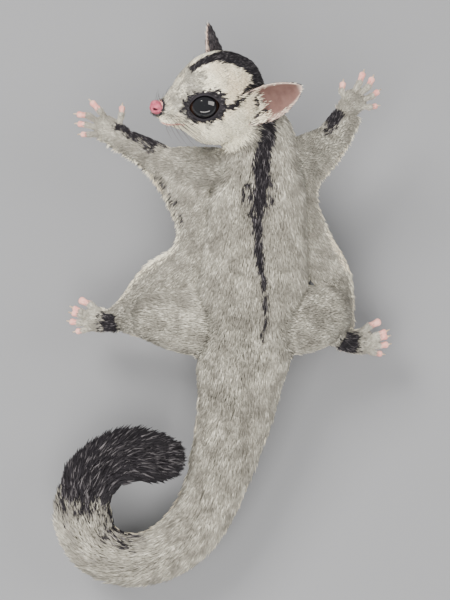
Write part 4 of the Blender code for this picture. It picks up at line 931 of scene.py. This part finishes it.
class Bench:
    """One node tree and the one way that nodes get into it."""

    def __init__(self, tree):
        self.tree = tree

    def node(self, kind, settings=None, sockets=None, out=0):
        made = self.tree.nodes.new(kind)
        for name, value in (settings or {}).items():
            setattr(made, name, value)
        for name, value in (sockets or {}).items():
            if isinstance(value, Wire):
                self.tree.links.new(value.socket, made.inputs[name])
            else:
                made.inputs[name].default_value = value
        return Wire(self, made.outputs[out]) if made.outputs else made

    def mix(self, share, a, b):
        """Colour a turned into colour b by a share."""
        return self.node("ShaderNodeMix", {"data_type": "RGBA"}, {0: share, 6: a, 7: b}, out=2)

    def attribute(self, name, out="Fac"):
        return self.node("ShaderNodeAttribute", {"attribute_name": name}, out=out)

    def noise(self, scale, detail=3.0, place=None):
        place = place or self.node("ShaderNodeTexCoord", out="Object")
        return self.node("ShaderNodeTexNoise", None, {"Vector": place, "Scale": scale, "Detail": detail})


def colour(red, green, blue):
    """A screen colour from 0 to 255 as linear light."""
    parts = [c / 255 for c in (red, green, blue)]
    return (*(c / 12.92 if c < 0.04045 else ((c + 0.055) / 1.055) ** 2.4 for c in parts), 1.0)


def finish(name, roughness=0.5, metallic=0.0, **more):
    """A new material: its bench and its shader, with the numbers that are the same all over it."""
    material = bpy.data.materials.new(name)
    material.use_nodes = True
    shader = material.node_tree.nodes["Principled BSDF"]
    for key, value in {"Roughness": roughness, "Metallic": metallic, **more}.items():
        shader.inputs[key].default_value = value
    return material, Bench(material.node_tree), shader


def dressed(thing, material):
    thing.data.materials.append(material)
    thing.data.shade_smooth()


def connect(bench, shader, **links):
    for key, wire in links.items():
        bench.tree.links.new(wire.socket, shader.inputs[key.replace("_", " ")])


def bump(bench, height, strength, distance):
    return bench.node("ShaderNodeBump", None, {"Strength": strength, "Distance": distance, "Height": height})


# %% [markdown]
# ## Fur and skin colours
# Tufts are painted darker at the root, as shade deep in the coat; no two tufts match, so each carries a
# random share.
# Where the marks' shares are near a half, that share decides, which breaks every edge into single strokes.

# %% Build the finish of skin and coat
GREY, PALE, SHADE = colour(170, 167, 156), colour(220, 217, 205), colour(118, 115, 108)
CREAM, WARM = colour(253, 248, 228), colour(242, 222, 190)
DARK, DARK_TIP = colour(42, 40, 44), colour(104, 101, 104)
PINK, PINK_DEEP = colour(232, 178, 166), colour(206, 128, 124)


def pelt(name, tufts):
    material, bench, shader = finish(name, 0.62 if tufts else 0.7, **{"Specular IOR Level": 0.25})
    marks = bench.node("ShaderNodeSeparateColor", None, {0: bench.attribute("marks", "Color")})
    dark, cream, bare = (Wire(bench, marks.socket.node.outputs[i]) for i in range(3))
    vary = bench.attribute("vary") if tufts else bench.noise(900.0, 2.0)
    grain = (vary - 0.5) * 0.7
    dabs = bench.noise(160.0, 4.0).step(0.35, 0.68)
    patches = bench.noise(60.0, 2.0).step(0.40, 0.66)
    base = bench.mix(dabs * 0.6, GREY, SHADE)
    base = bench.mix((1 - dabs) * vary.step(0.45, 0.95), base, PALE)
    base = bench.mix((1 - patches) * 0.32, base, SHADE)
    light = bench.mix(patches * 0.5, CREAM, WARM)
    light = bench.mix(vary.step(0.7, 1.0) * 0.25, light, GREY)
    tone = bench.mix((cream + grain * 0.8).step(0.30, 0.70), base, light)
    tone = bench.mix((dark + grain).step(0.36, 0.60), tone, bench.mix(vary.step(0.70, 1.0), DARK, DARK_TIP))
    flush = bench.mix(bench.noise(420.0, 3.0).step(0.35, 0.7) * 0.7, PINK, PINK_DEEP)
    tone = bench.mix((bare + grain * 0.2).step(0.35, 0.65), tone, flush)
    if tufts:
        # Painted shade: each tuft is darkened towards black at its root, for the shade deep between the
        # tufts.
        root = bench.attribute("along").step(0.0, 0.7)
        tone = bench.mix((1 - root) * 0.30, tone, bench.mix(0.62, tone, (0.0, 0.0, 0.0, 1.0)))
    else:
        creases = bench.noise(1500.0, 4.0) * bare
        connect(bench, shader, Normal=bump(bench, creases, 0.5, 0.0003))
    connect(bench, shader, Base_Color=tone)
    return material


skin_finish, coat_finish = pelt("pelt_skin", False), pelt("pelt_coat", True)
skin.data.materials.clear()
dressed(skin, skin_finish)

# %% [markdown]
# ## One tuft
# A tuft is a flat lock of a few hairs: a three-sided spike of nine triangles that leaves the skin, bends over
# and ends in a point. It is one unit long, wide and deep, and carries its own tiny patch of the unwrap.

# %% Make the tuft
def make_tuft():
    sides = [(-0.5, 0.0), (0.5, 0.0), (0.0, 0.24)]
    points = [(0.0, 0.7 * y, z - 0.22) for y, z in sides]
    points += [(0.42, y, z + 0.52) for y, z in sides]
    points.append((1.0, 0.0, 1.0))
    faces = [(k, (k + 1) % 3, 3 + (k + 1) % 3, 3 + k) for k in range(3)]
    faces += [(3 + k, 3 + (k + 1) % 3, 6) for k in range(3)]
    mesh = bpy.data.meshes.new("tuft")
    mesh.from_pydata(points, [], faces)
    thing = bpy.data.objects.new("tuft", mesh)
    along = np.array([point[0] for point in points])
    patch = np.array([(point[0], point[1] + 0.5, 0.0) for point in points])
    stored(thing, along=along, patch=patch)
    return thing


tuft = make_tuft()

# %% [markdown]
# ## Growing the coat
# Geometry Nodes scatter points over the skin, turn each tuft so that it stands out of the skin and lies
# with the hair, vary it a little, and realize the instances. One tree serves every part of the coat; the
# number of the region and the density are inputs.

# %% Build the coat's node tree
PATCH = 0.003                   # size of a tuft's patch on the unwrap


def coat_tree():
    tree = bpy.data.node_groups.new("coat", "GeometryNodeTree")
    for name, kind in (("Geometry", "Geometry"), ("Region", "Float"), ("Density", "Float"), ("Seed", "Int"),
                       ("Sway", "Float")):
        tree.interface.new_socket(name, in_out="INPUT", socket_type=f"NodeSocket{kind}")
    tree.interface.new_socket("Geometry", in_out="OUTPUT", socket_type="NodeSocketGeometry")
    bench = Bench(tree)
    given = bench.node("NodeGroupInput").socket.node.outputs

    def named(name, kind="FLOAT"):
        return bench.node("GeometryNodeInputNamedAttribute", {"data_type": kind}, {"Name": name})

    def random(kind, low, high, salt):
        sockets = {0: low, 1: high} if kind == "FLOAT_VECTOR" else {2: low, 3: high}
        sockets["Seed"] = Wire(bench, given["Seed"]) + salt
        out = 0 if kind == "FLOAT_VECTOR" else 1
        return bench.node("FunctionNodeRandomValue", {"data_type": kind}, sockets, out)

    region = named("region")
    here = region.maths("COMPARE", region, Wire(bench, given["Region"]), 0.5)
    sockets = {"Mesh": Wire(bench, given["Geometry"]), "Seed": Wire(bench, given["Seed"]),
               "Density": named("cover") * here * Wire(bench, given["Density"])}
    points = bench.node("GeometryNodeDistributePointsOnFaces", None, sockets)
    normal = Wire(bench, points.socket.node.outputs["Normal"])
    turn = bench.node("FunctionNodeAxesToRotation", {"primary_axis": "Z", "secondary_axis": "X"},
                      {0: normal, 1: named("lie", "FLOAT_VECTOR")})
    sway = bench.node("ShaderNodeCombineXYZ", None, {2: Wire(bench, given["Sway"]), 0: 0.25, 1: 0.12})
    low = bench.node("ShaderNodeVectorMath", {"operation": "SCALE"}, {0: sway, "Scale": -1.0})
    spin = bench.node("FunctionNodeEulerToRotation", None, {0: random("FLOAT_VECTOR", low, sway, 1)})
    turn = bench.node("FunctionNodeRotateRotation", {"rotation_space": "LOCAL"}, {0: turn, 1: spin})
    scale = bench.node("ShaderNodeVectorMath", {"operation": "MULTIPLY"},
                       {0: named("size", "FLOAT_VECTOR"),
                        1: random("FLOAT_VECTOR", (0.72, 0.75, 0.70), (1.22, 1.25, 1.15), 2)})
    points = bench.node("GeometryNodeStoreNamedAttribute", {"data_type": "FLOAT_VECTOR", "domain": "POINT"},
                        {"Geometry": points, "Name": "root", "Value": named("unwrap", "FLOAT_VECTOR")})
    points = bench.node("GeometryNodeStoreNamedAttribute", {"data_type": "FLOAT", "domain": "POINT"},
                        {"Geometry": points, "Name": "vary", "Value": random("FLOAT", 0.0, 1.0, 3)})
    lock = bench.node("GeometryNodeObjectInfo", None, {"Object": tuft}, out="Geometry")
    coat = bench.node("GeometryNodeInstanceOnPoints", None,
                      {"Points": points, "Instance": lock, "Rotation": turn, "Scale": scale})
    coat = bench.node("GeometryNodeRealizeInstances", None, {"Geometry": coat})
    patch = bench.node("ShaderNodeVectorMath", {"operation": "SCALE"},
                       {0: named("patch", "FLOAT_VECTOR"), "Scale": PATCH})
    spot = bench.node("ShaderNodeVectorMath", {"operation": "ADD"},
                      {0: named("root", "FLOAT_VECTOR"), 1: patch})
    coat = bench.node("GeometryNodeStoreNamedAttribute", {"data_type": "FLOAT2", "domain": "CORNER"},
                      {"Geometry": coat, "Name": "OFBake", "Value": spot})
    coat = bench.node("GeometryNodeSetMaterial", None, {"Geometry": coat, "Material": coat_finish})
    bench.node("NodeGroupOutput", None, {"Geometry": coat})
    return tree


coat_nodes = coat_tree()


# %% Grow one part of the coat
def grown(name, source, region, density, sway, seed):
    """A mesh of tufts over one region of the source, at so many a square millimetre."""
    thing = bpy.data.objects.new(name, source.data)
    bpy.context.scene.collection.objects.link(thing)
    grow = thing.modifiers.new("coat", "NODES")
    grow.node_group = coat_nodes
    values = {"Region": float(region), "Density": density * 1e6, "Seed": seed, "Sway": math.radians(sway)}
    for socket in coat_nodes.interface.items_tree:
        if socket.in_out == "INPUT" and socket.name in values:
            grow[socket.identifier] = values[socket.name]
    applied(thing)
    for spare in ("lie", "size", "cover", "region", "root", "patch", "unwrap"):
        layer = thing.data.attributes.get(spare)
        if layer:
            thing.data.attributes.remove(layer)
    thing.data.uv_layers.active = thing.data.uv_layers["OFBake"]
    thing.data.shade_smooth()
    triangles = sum(len(face.vertices) - 2 for face in thing.data.polygons)
    print(f"{name}: {triangles} triangles")
    return thing


# name: region, tufts a square millimetre, sway in degrees
COATS = {"coat_head": (0, 3.7, 12), "coat_back": (1, 3.0, 13), "coat_belly": (BELLY_REGION, 1.7, 16),
         "coat_membranes": (2, 2.9, 14), "coat_arms": (3, 4.0, 12), "coat_legs": (4, 3.4, 14),
         "coat_tail": (5, 2.25, 16), "coat_brush": (BRUSH_REGION, 5.6, 20)}
coats = [grown(name, skin, *plan, seed) for seed, (name, plan) in enumerate(COATS.items())]

# %% [markdown]
# ## Ears
# Thin cupped leaves that stand up from the back of the skull, bare and pink inside with fine creases, short
# dark fur outside. One sheet in two layers that meet in a rounded rim; its foot is sunk into the head.

# %% Shape the ears
def ear_leaf(side, along, opens, ups=EAR_ROWS, acrosses=EAR_COLUMNS):
    """Points, faces and facts of an ear: how far up, how far across, and whether on its inner face."""
    along = unit(along)
    opens = (Vector(opens) - along * Vector(opens).dot(along)).normalized()
    across = along.cross(opens)
    root = to_side(EAR_ROOT, side)
    points, facts = [], []
    for face in (1.0, -1.0):
        for u in -EAR_SUNK + (1 + EAR_SUNK) * np.sin(0.5 * math.pi * np.arange(ups + 1) / ups):
            half = 1.0 - ((u - EAR_WIDEST) / (1.015 - EAR_WIDEST)) ** 2
            half = EAR_HALF_WIDTH * half ** (0.5 if u < EAR_WIDEST else EAR_POINTED)
            for v in np.linspace(-1, 1, acrosses + 1):
                cup = EAR_CUP * (v * v - 0.35) * (1.15 - 0.75 * max(u, 0.0)) * half / EAR_HALF_WIDTH
                crease = 0.14 * math.sin(46 * u + 3 * v * v) * (1 - v * v) * (1 - abs(2 * u - 1) ** 3)
                rim = 0.5 * EAR_THICK * math.sqrt(max(0.0, 1 - v**8)) * min(1.0, 9 * (1.001 - u)) ** 0.5
                out = cup - EAR_BEND * max(u, 0.0) ** 2 + crease + face * (rim + 0.04)
                there = root + along * float(EAR_LENGTH * u) + across * float(half * v)
                points.append(there + opens * float(out))
                facts.append((u, v, face))
    row, layer = acrosses + 1, (ups + 1) * (acrosses + 1)
    faces = [(k * layer + i * row + j, k * layer + i * row + j + 1, k * layer + (i + 1) * row + j + 1,
              k * layer + (i + 1) * row + j) for k in range(2) for i in range(ups) for j in range(acrosses)]
    border = [(0, j) for j in range(row)] + [(i, acrosses) for i in range(1, ups + 1)]
    border += [(ups, j) for j in range(acrosses - 1, -1, -1)] + [(i, 0) for i in range(ups - 1, 0, -1)]
    for (i, j), (k, m) in zip(border, border[1:] + border[:1]):
        a, b = i * row + j, k * row + m
        faces.append((a, b, b + layer, a + layer))
    return (points, faces), np.array(facts), along


def ear_piece(name, side, along, opens):
    form, facts, along = ear_leaf(side, along, opens)
    ear = piece(f"ear_{name}", [placed(form, HEAD)])
    unwrapped(ear)
    up, across, face = facts.T
    inner = soft(face, -0.2, 0.2)
    rim = np.maximum(soft(abs(across), 0.72, 0.98), soft(up, 0.90, 1.0))
    foot = 1 - soft(up, 0.0, 0.35)
    count = len(up)
    way = np.array((GLIDER @ HEAD).to_3x3() @ along)
    hair = np.outer(0.7 + 0.8 * foot, (0.0022, 0.00036, 0.0005))
    cover = (1 - inner) * (1 - 0.9 * soft(rim, 0.5, 0.9)) + inner * np.maximum(0.75 * foot, 0.25 * rim)
    strokes = soft(np.sin(13 * across + 9 * up), 0.3, 0.7) * soft(0.34 - up, 0, 0.1)
    dark = (1 - inner) * (0.95 - 0.35 * rim) + inner * np.maximum(strokes, 0.55 * rim * soft(across, 0, 0.5))
    marks = np.column_stack([dark, 0.8 * inner + 0.3 * rim, np.zeros(count), np.ones(count)])
    stored(ear, lie=np.tile(way, (count, 1)), size=hair, cover=cover, marks=marks, region=np.zeros(count),
           inner=inner, up=up, rim=rim)
    return ear


ears = {name: ear_piece(name, side, *EARS[name]) for name, side in SIDES.items()}
coats.append(grown("coat_ear_left", ears["left"], 0, 4.5, 12, 31))
coats.append(grown("coat_ear_right", ears["right"], 0, 4.5, 12, 32))

# %% Colour the ears
ear_finish, bench, shader = finish("ear", 0.55, **{"Specular IOR Level": 0.3})
veins = bench.noise(230.0, 5.0)
flesh = bench.mix(veins.step(0.35, 0.7) * 0.6, colour(112, 86, 80), colour(88, 64, 60))
flesh = bench.mix((1 - bench.attribute("up")).step(0.55, 0.95) * 0.7, flesh, colour(98, 72, 72))
flesh = bench.mix(bench.attribute("rim") * 0.75, flesh, colour(206, 184, 172))
outer = (1 - bench.attribute("inner")).step(0.4, 0.6) * (1 - bench.attribute("rim")).step(0.35, 0.6)
flesh = bench.mix(outer, flesh, colour(78, 72, 74))
connect(bench, shader, Base_Color=flesh, Normal=bump(bench, bench.noise(1300.0, 4.0), 0.35, 0.0003))
for ear in ears.values():
    dressed(ear, ear_finish)

# %% [markdown]
# ## Eyes
# Black, wet and bulging: nearly all pupil at this lighting, with a thin brown iris towards the lids. Fine
# balls, so that highlights stay round.

# %% Make the eyes
eye_finish, bench, shader = finish("eye", 0.06, **{"Coat Weight": 1.0, "Coat Roughness": 0.02})
iris = (1 - bench.attribute("gaze")).step(0.34, 0.42)
connect(bench, shader, Base_Color=bench.mix(iris * 0.8, (0.004, 0.004, 0.005, 1.0), colour(52, 34, 24)))
eyes = {}
for name, side in SIDES.items():
    form = ball(to_side(EYE_PLACE, side), (EYE_RADIUS,) * 3, 64, 44)
    eyes[name] = piece(f"eye_{name}", [placed(form, HEAD)])
    ways = (form[0] - np.array(to_side(EYE_PLACE, side))) / EYE_RADIUS
    stored(eyes[name], gaze=ways @ np.array(unit(to_side(EYE_WAY, side))))
    dressed(eyes[name], eye_finish)

# %% [markdown]
# ## Nose
# A bare pink pad with two comma-shaped nostrils and a groove down its middle, finely grained and damp.

# %% Make the nose
def nose_form():
    """Points and faces of the nose, and how deep each point is sunk."""
    points, faces = ball((0, 0, 0), (1, 1, 1), 96, 64)
    pits = np.zeros(len(points))
    middle, radii = (np.array(values) for values in NOSE_PAD)
    nostril = (np.array(NOSTRIL) - middle) / radii
    for i, point in enumerate(points):
        sunk = 0.0
        for side in (1, -1):
            gap = point - nostril / np.linalg.norm(nostril) * (1, side, 1)
            slit = side * gap[1]
            hole = slit**2 / (0.12 if slit > 0 else 0.04)
            hole = hole + (gap[2] - 0.35 * slit) ** 2 / 0.045 + gap[0] ** 2 / 0.7
            sunk += 0.40 * math.exp(-hole)
        pits[i] = sunk
        if point[2] < 0.5:
            sunk += 0.16 * math.exp(-((point[1] / 0.11) ** 2)) * soft(point[0], -0.1, 0.4)
        sunk += 0.08 * soft(point[0], 0.72, 1.0)
        points[i] = point * (1 - sunk)
    return points * radii + middle, faces, pits


*nose_shape, pits = nose_form()
nose = piece("nose", [placed(nose_shape, HEAD)])
stored(nose, pit=pits)
nose_finish, bench, shader = finish("nose", 0.38, **{"Coat Weight": 0.25, "Coat Roughness": 0.25})
tone = bench.mix(bench.noise(700.0, 3.0).step(0.35, 0.65), colour(188, 98, 116), colour(152, 70, 88))
# Painted shade: the nostril pits are coloured near black, for the shade inside the nostrils.
tone = bench.mix(bench.attribute("pit").step(0.08, 0.22), tone, colour(58, 26, 32))
connect(bench, shader, Base_Color=tone, Normal=bump(bench, bench.noise(2600.0, 2.0), 0.45, 0.0002))
dressed(nose, nose_finish)

# %% [markdown]
# ## Claws and whiskers
# Every digit but the big toe ends in a small hooked claw of pale horn. Stiff dark whiskers stand in rows on
# the muzzle pads, a few more above the eye and on the cheek.

# %% Make the claws
def claw_forms(paw):
    forms = []
    for k, digit in enumerate(paw["digits"]):
        if k == paw["clawless"]:
            continue
        middle, tip, run = digit_line(paw, digit)[1:]
        root = tip - run * (CLAW_LENGTH * 0.9) + UP * (digit[3] * 0.35) - run * 0.4
        bend = root + run * (CLAW_LENGTH * 0.75) + UP * 0.1
        point = root + run * (CLAW_LENGTH * 1.25) - UP * 1.3
        rows = [(*root, *(CLAW_RADIUS,) * 3), (*root.lerp(bend, 0.5), *(CLAW_RADIUS * 0.95,) * 3),
                (*bend, *(CLAW_RADIUS * 0.7,) * 3), (*bend.lerp(point, 0.6), *(CLAW_RADIUS * 0.42,) * 3),
                (*point, 0.08, 0.08, 0.08)]
        forms.append(loft(rows, 12, per_span=4, round_ends=(0.3, 0.3)))
    return forms


claw_finish, bench, shader = finish("claw", 0.35, **{"Coat Weight": 0.2})
tone = bench.mix(bench.noise(800.0, 2.0).step(0.3, 0.7), colour(214, 192, 168), colour(176, 148, 122))
connect(bench, shader, Base_Color=tone)
claws = {name: piece(f"claws_{name}", claw_forms(paw)) for name, paw in PAWS.items()}
for claw in claws.values():
    dressed(claw, claw_finish)
print("claws:", sum(len(claw.data.polygons) for claw in claws.values()), "faces")

# %% Make the whiskers
# Root, way and length of the single ones over the eye and on the cheek
FEW_WHISKERS = (((11.5, 6.2, 9.6), (0.1, 0.55, 0.85), 10), ((9.8, 6.6, 10.4), (-0.1, 0.6, 0.8), 8),
                ((3.5, 14.0, -8.0), (-0.35, 0.9, -0.3), 10), ((2.2, 14.2, -6.4), (-0.4, 0.9, 0), 8))


def whisker(root, out, length, droop):
    steps = np.linspace(0, 1, 13)
    line = [Vector(root) + out * float(length * t) + Vector((-0.35, 0, -droop)) * float(length * t * t)
            for t in steps]
    return tube(line, 0.10 * (1 - steps) ** 0.7 + 0.018, 6)


def whisker_forms():
    draw = np.random.default_rng(5)
    forms = []
    for side in SIDES.values():
        for row in range(4):
            for k in range(5):
                place = Vector((23.6 - 1.45 * k - 0.25 * row, 3.3 + 0.62 * k, -4.2 - 1.25 * row + 0.1 * k))
                out = Vector((0.30 - 0.22 * k, 0.95, 0.28 - 0.24 * row))
                out = unit(out + Vector(draw.normal(0, 0.06, 3)))
                length = 8.5 + 2.3 * k + draw.uniform(-1, 1)
                droop = draw.uniform(0.0, 0.16)
                forms.append(whisker(to_side(place, side), to_side(out, side), length, droop))
        for place, out, length in FEW_WHISKERS:
            forms.append(whisker(to_side(place, side), to_side(unit(out), side), length, 0.1))
    return forms


whisker_finish, bench, shader = finish("whisker", 0.4)
connect(bench, shader, Base_Color=bench.mix(bench.noise(90.0, 1.0), colour(44, 40, 42), colour(90, 84, 82)))
whiskers = piece("whiskers", [placed(form, HEAD) for form in whisker_forms()])
dressed(whiskers, whisker_finish)
print("whiskers:", len(whiskers.data.polygons), "faces")

# %% [markdown]
# ## The stand
# A display stand holds the flight pose: a steel base in black satin paint and one brushed steel rod. Their
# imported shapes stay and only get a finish.

# %% Finish the stand
paint, bench, shader = finish("stand_paint", 0.42, **{"Coat Weight": 0.15})
connect(bench, shader, Base_Color=bench.mix(bench.noise(40.0, 4.0), colour(30, 30, 32), colour(40, 40, 42)),
        Normal=bump(bench, bench.noise(1500.0, 3.0), 0.15, 0.0002))
steel, bench, shader = finish("stand_steel", 0.30, 1.0)
place = bench.node("ShaderNodeMapping", None, {0: bench.node("ShaderNodeTexCoord", out="Object"),
                                               3: (3000.0, 3000.0, 60.0)})
grain = bench.noise(1.0, 3.0, place)
connect(bench, shader, Base_Color=bench.mix(grain, colour(150, 150, 152), colour(190, 190, 192)),
        Roughness=grain.step(0.2, 0.8) * 0.2 + 0.25)
for name, material in (("stand_base", paint), ("stand_rod", steel)):
    for place in frame["nodes"][name].material_slots:
        place.material = material

# %% [markdown]
# ## Floor, light and camera
# A plain floor, two large soft lights on the left, one towards the head and one towards the tail, a window
# on the right that shows in the eyes, a low rim light, one small spark and a pale sky. The camera looks
# straight down on the back, as the picture does.

# %% Set the studio
FLOOR_HALF = 6.0                # metres
CAMERA_HEIGHT = 0.6375          # metres out of the back
floor_finish, bench, shader = finish("floor", 0.9, **{"Base Color": colour(130, 132, 136)})
sheet = bpy.data.meshes.new("floor")
corners = [(FLOOR_HALF * x, FLOOR_HALF * y, 0.0) for x, y in ((-1, -1), (1, -1), (1, 1), (-1, 1))]
sheet.from_pydata(corners, [], [(0, 1, 2, 3)])
sheet.materials.append(floor_finish)
floor = bpy.data.objects.new("floor", sheet)
bpy.context.scene.collection.objects.link(floor)


def lamp(name, place, size, power, mirrored=True, warm=(1.0, 0.96, 0.90), aim=(0, 0, 0.05)):
    light = bpy.data.lights.new(name, "AREA")
    light.shape = "RECTANGLE"
    light.size, light.size_y = size
    light.energy, light.color = power, warm
    thing = bpy.data.objects.new(name, light)
    thing.location = place
    thing.rotation_euler = (Vector(place) - Vector(aim)).to_track_quat("Z", "Y").to_euler()
    thing.visible_glossy = mirrored
    bpy.context.scene.collection.objects.link(thing)


lamp("key", (-0.70, 0.60, 1.15), (0.60, 0.60), 29.0, False)
lamp("front", (-0.15, -0.60, 1.25), (0.90, 0.90), 29.0, False)
lamp("window", (1.00, 0.05, 0.85), (0.55, 1.10), 9.0)
lamp("rim", (0.10, -1.10, 0.45), (1.50, 0.14), 5.0)
lamp("spark", (-0.40, 0.30, 1.20), (0.10, 0.10), 0.8)
world = bpy.data.worlds.new("sky")
world.use_nodes = True
world.node_tree.nodes["Background"].inputs["Color"].default_value = (0.94, 0.96, 1.0, 1.0)
world.node_tree.nodes["Background"].inputs["Strength"].default_value = 0.35
bpy.context.scene.world = world

camera = bpy.data.objects.new("camera", bpy.data.cameras.new("camera"))
camera.data.lens = 85.0
camera.data.clip_start = 0.01
bpy.context.scene.collection.objects.link(camera)
turn = GLIDER.to_3x3().to_4x4()
aim = MM * (GLIDER @ Vector((-13.5, -22.5, 0.0)))
camera.matrix_world = Matrix.Translation(aim) @ turn @ Matrix.Translation((0.0, 0.0, CAMERA_HEIGHT))
bpy.context.scene.camera = camera

# %% [markdown]
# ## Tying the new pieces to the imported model
# The skin stands for all the flesh, so no seam shows at shoulders or hips. Ears, eyes and nose each stand
# for their own solid. Coat, claws and whiskers are added on top.

def declare(thing, slot, *nodes):
    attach(thing, "root")
    if nodes:
        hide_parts(*nodes)


LIMB_PARTS = ("upper_arm", "forearm", "hand", "thigh", "shin", "foot", "membrane")
LIMB_NODES = [f"{limb}_{side}" for limb in LIMB_PARTS for side in SIDES]
declare(skin, "grey_coat", "head", "neck", "torso", *LIMB_NODES, *(f"tail_{k}" for k in range(1, 6)))
declare(nose, "nose_skin", "nose")
for side in SIDES:
    declare(ears[side], "ear_skin", f"ear_{side}")
    declare(eyes[side], "eye_gloss", f"eye_{side}")
for coat in coats:
    declare(coat, "dark_coat" if coat.name == "coat_brush" else "grey_coat")
for claw in claws.values():
    declare(claw, "claw_horn")
declare(whiskers, "claw_horn")
bpy.data.objects.remove(tuft)
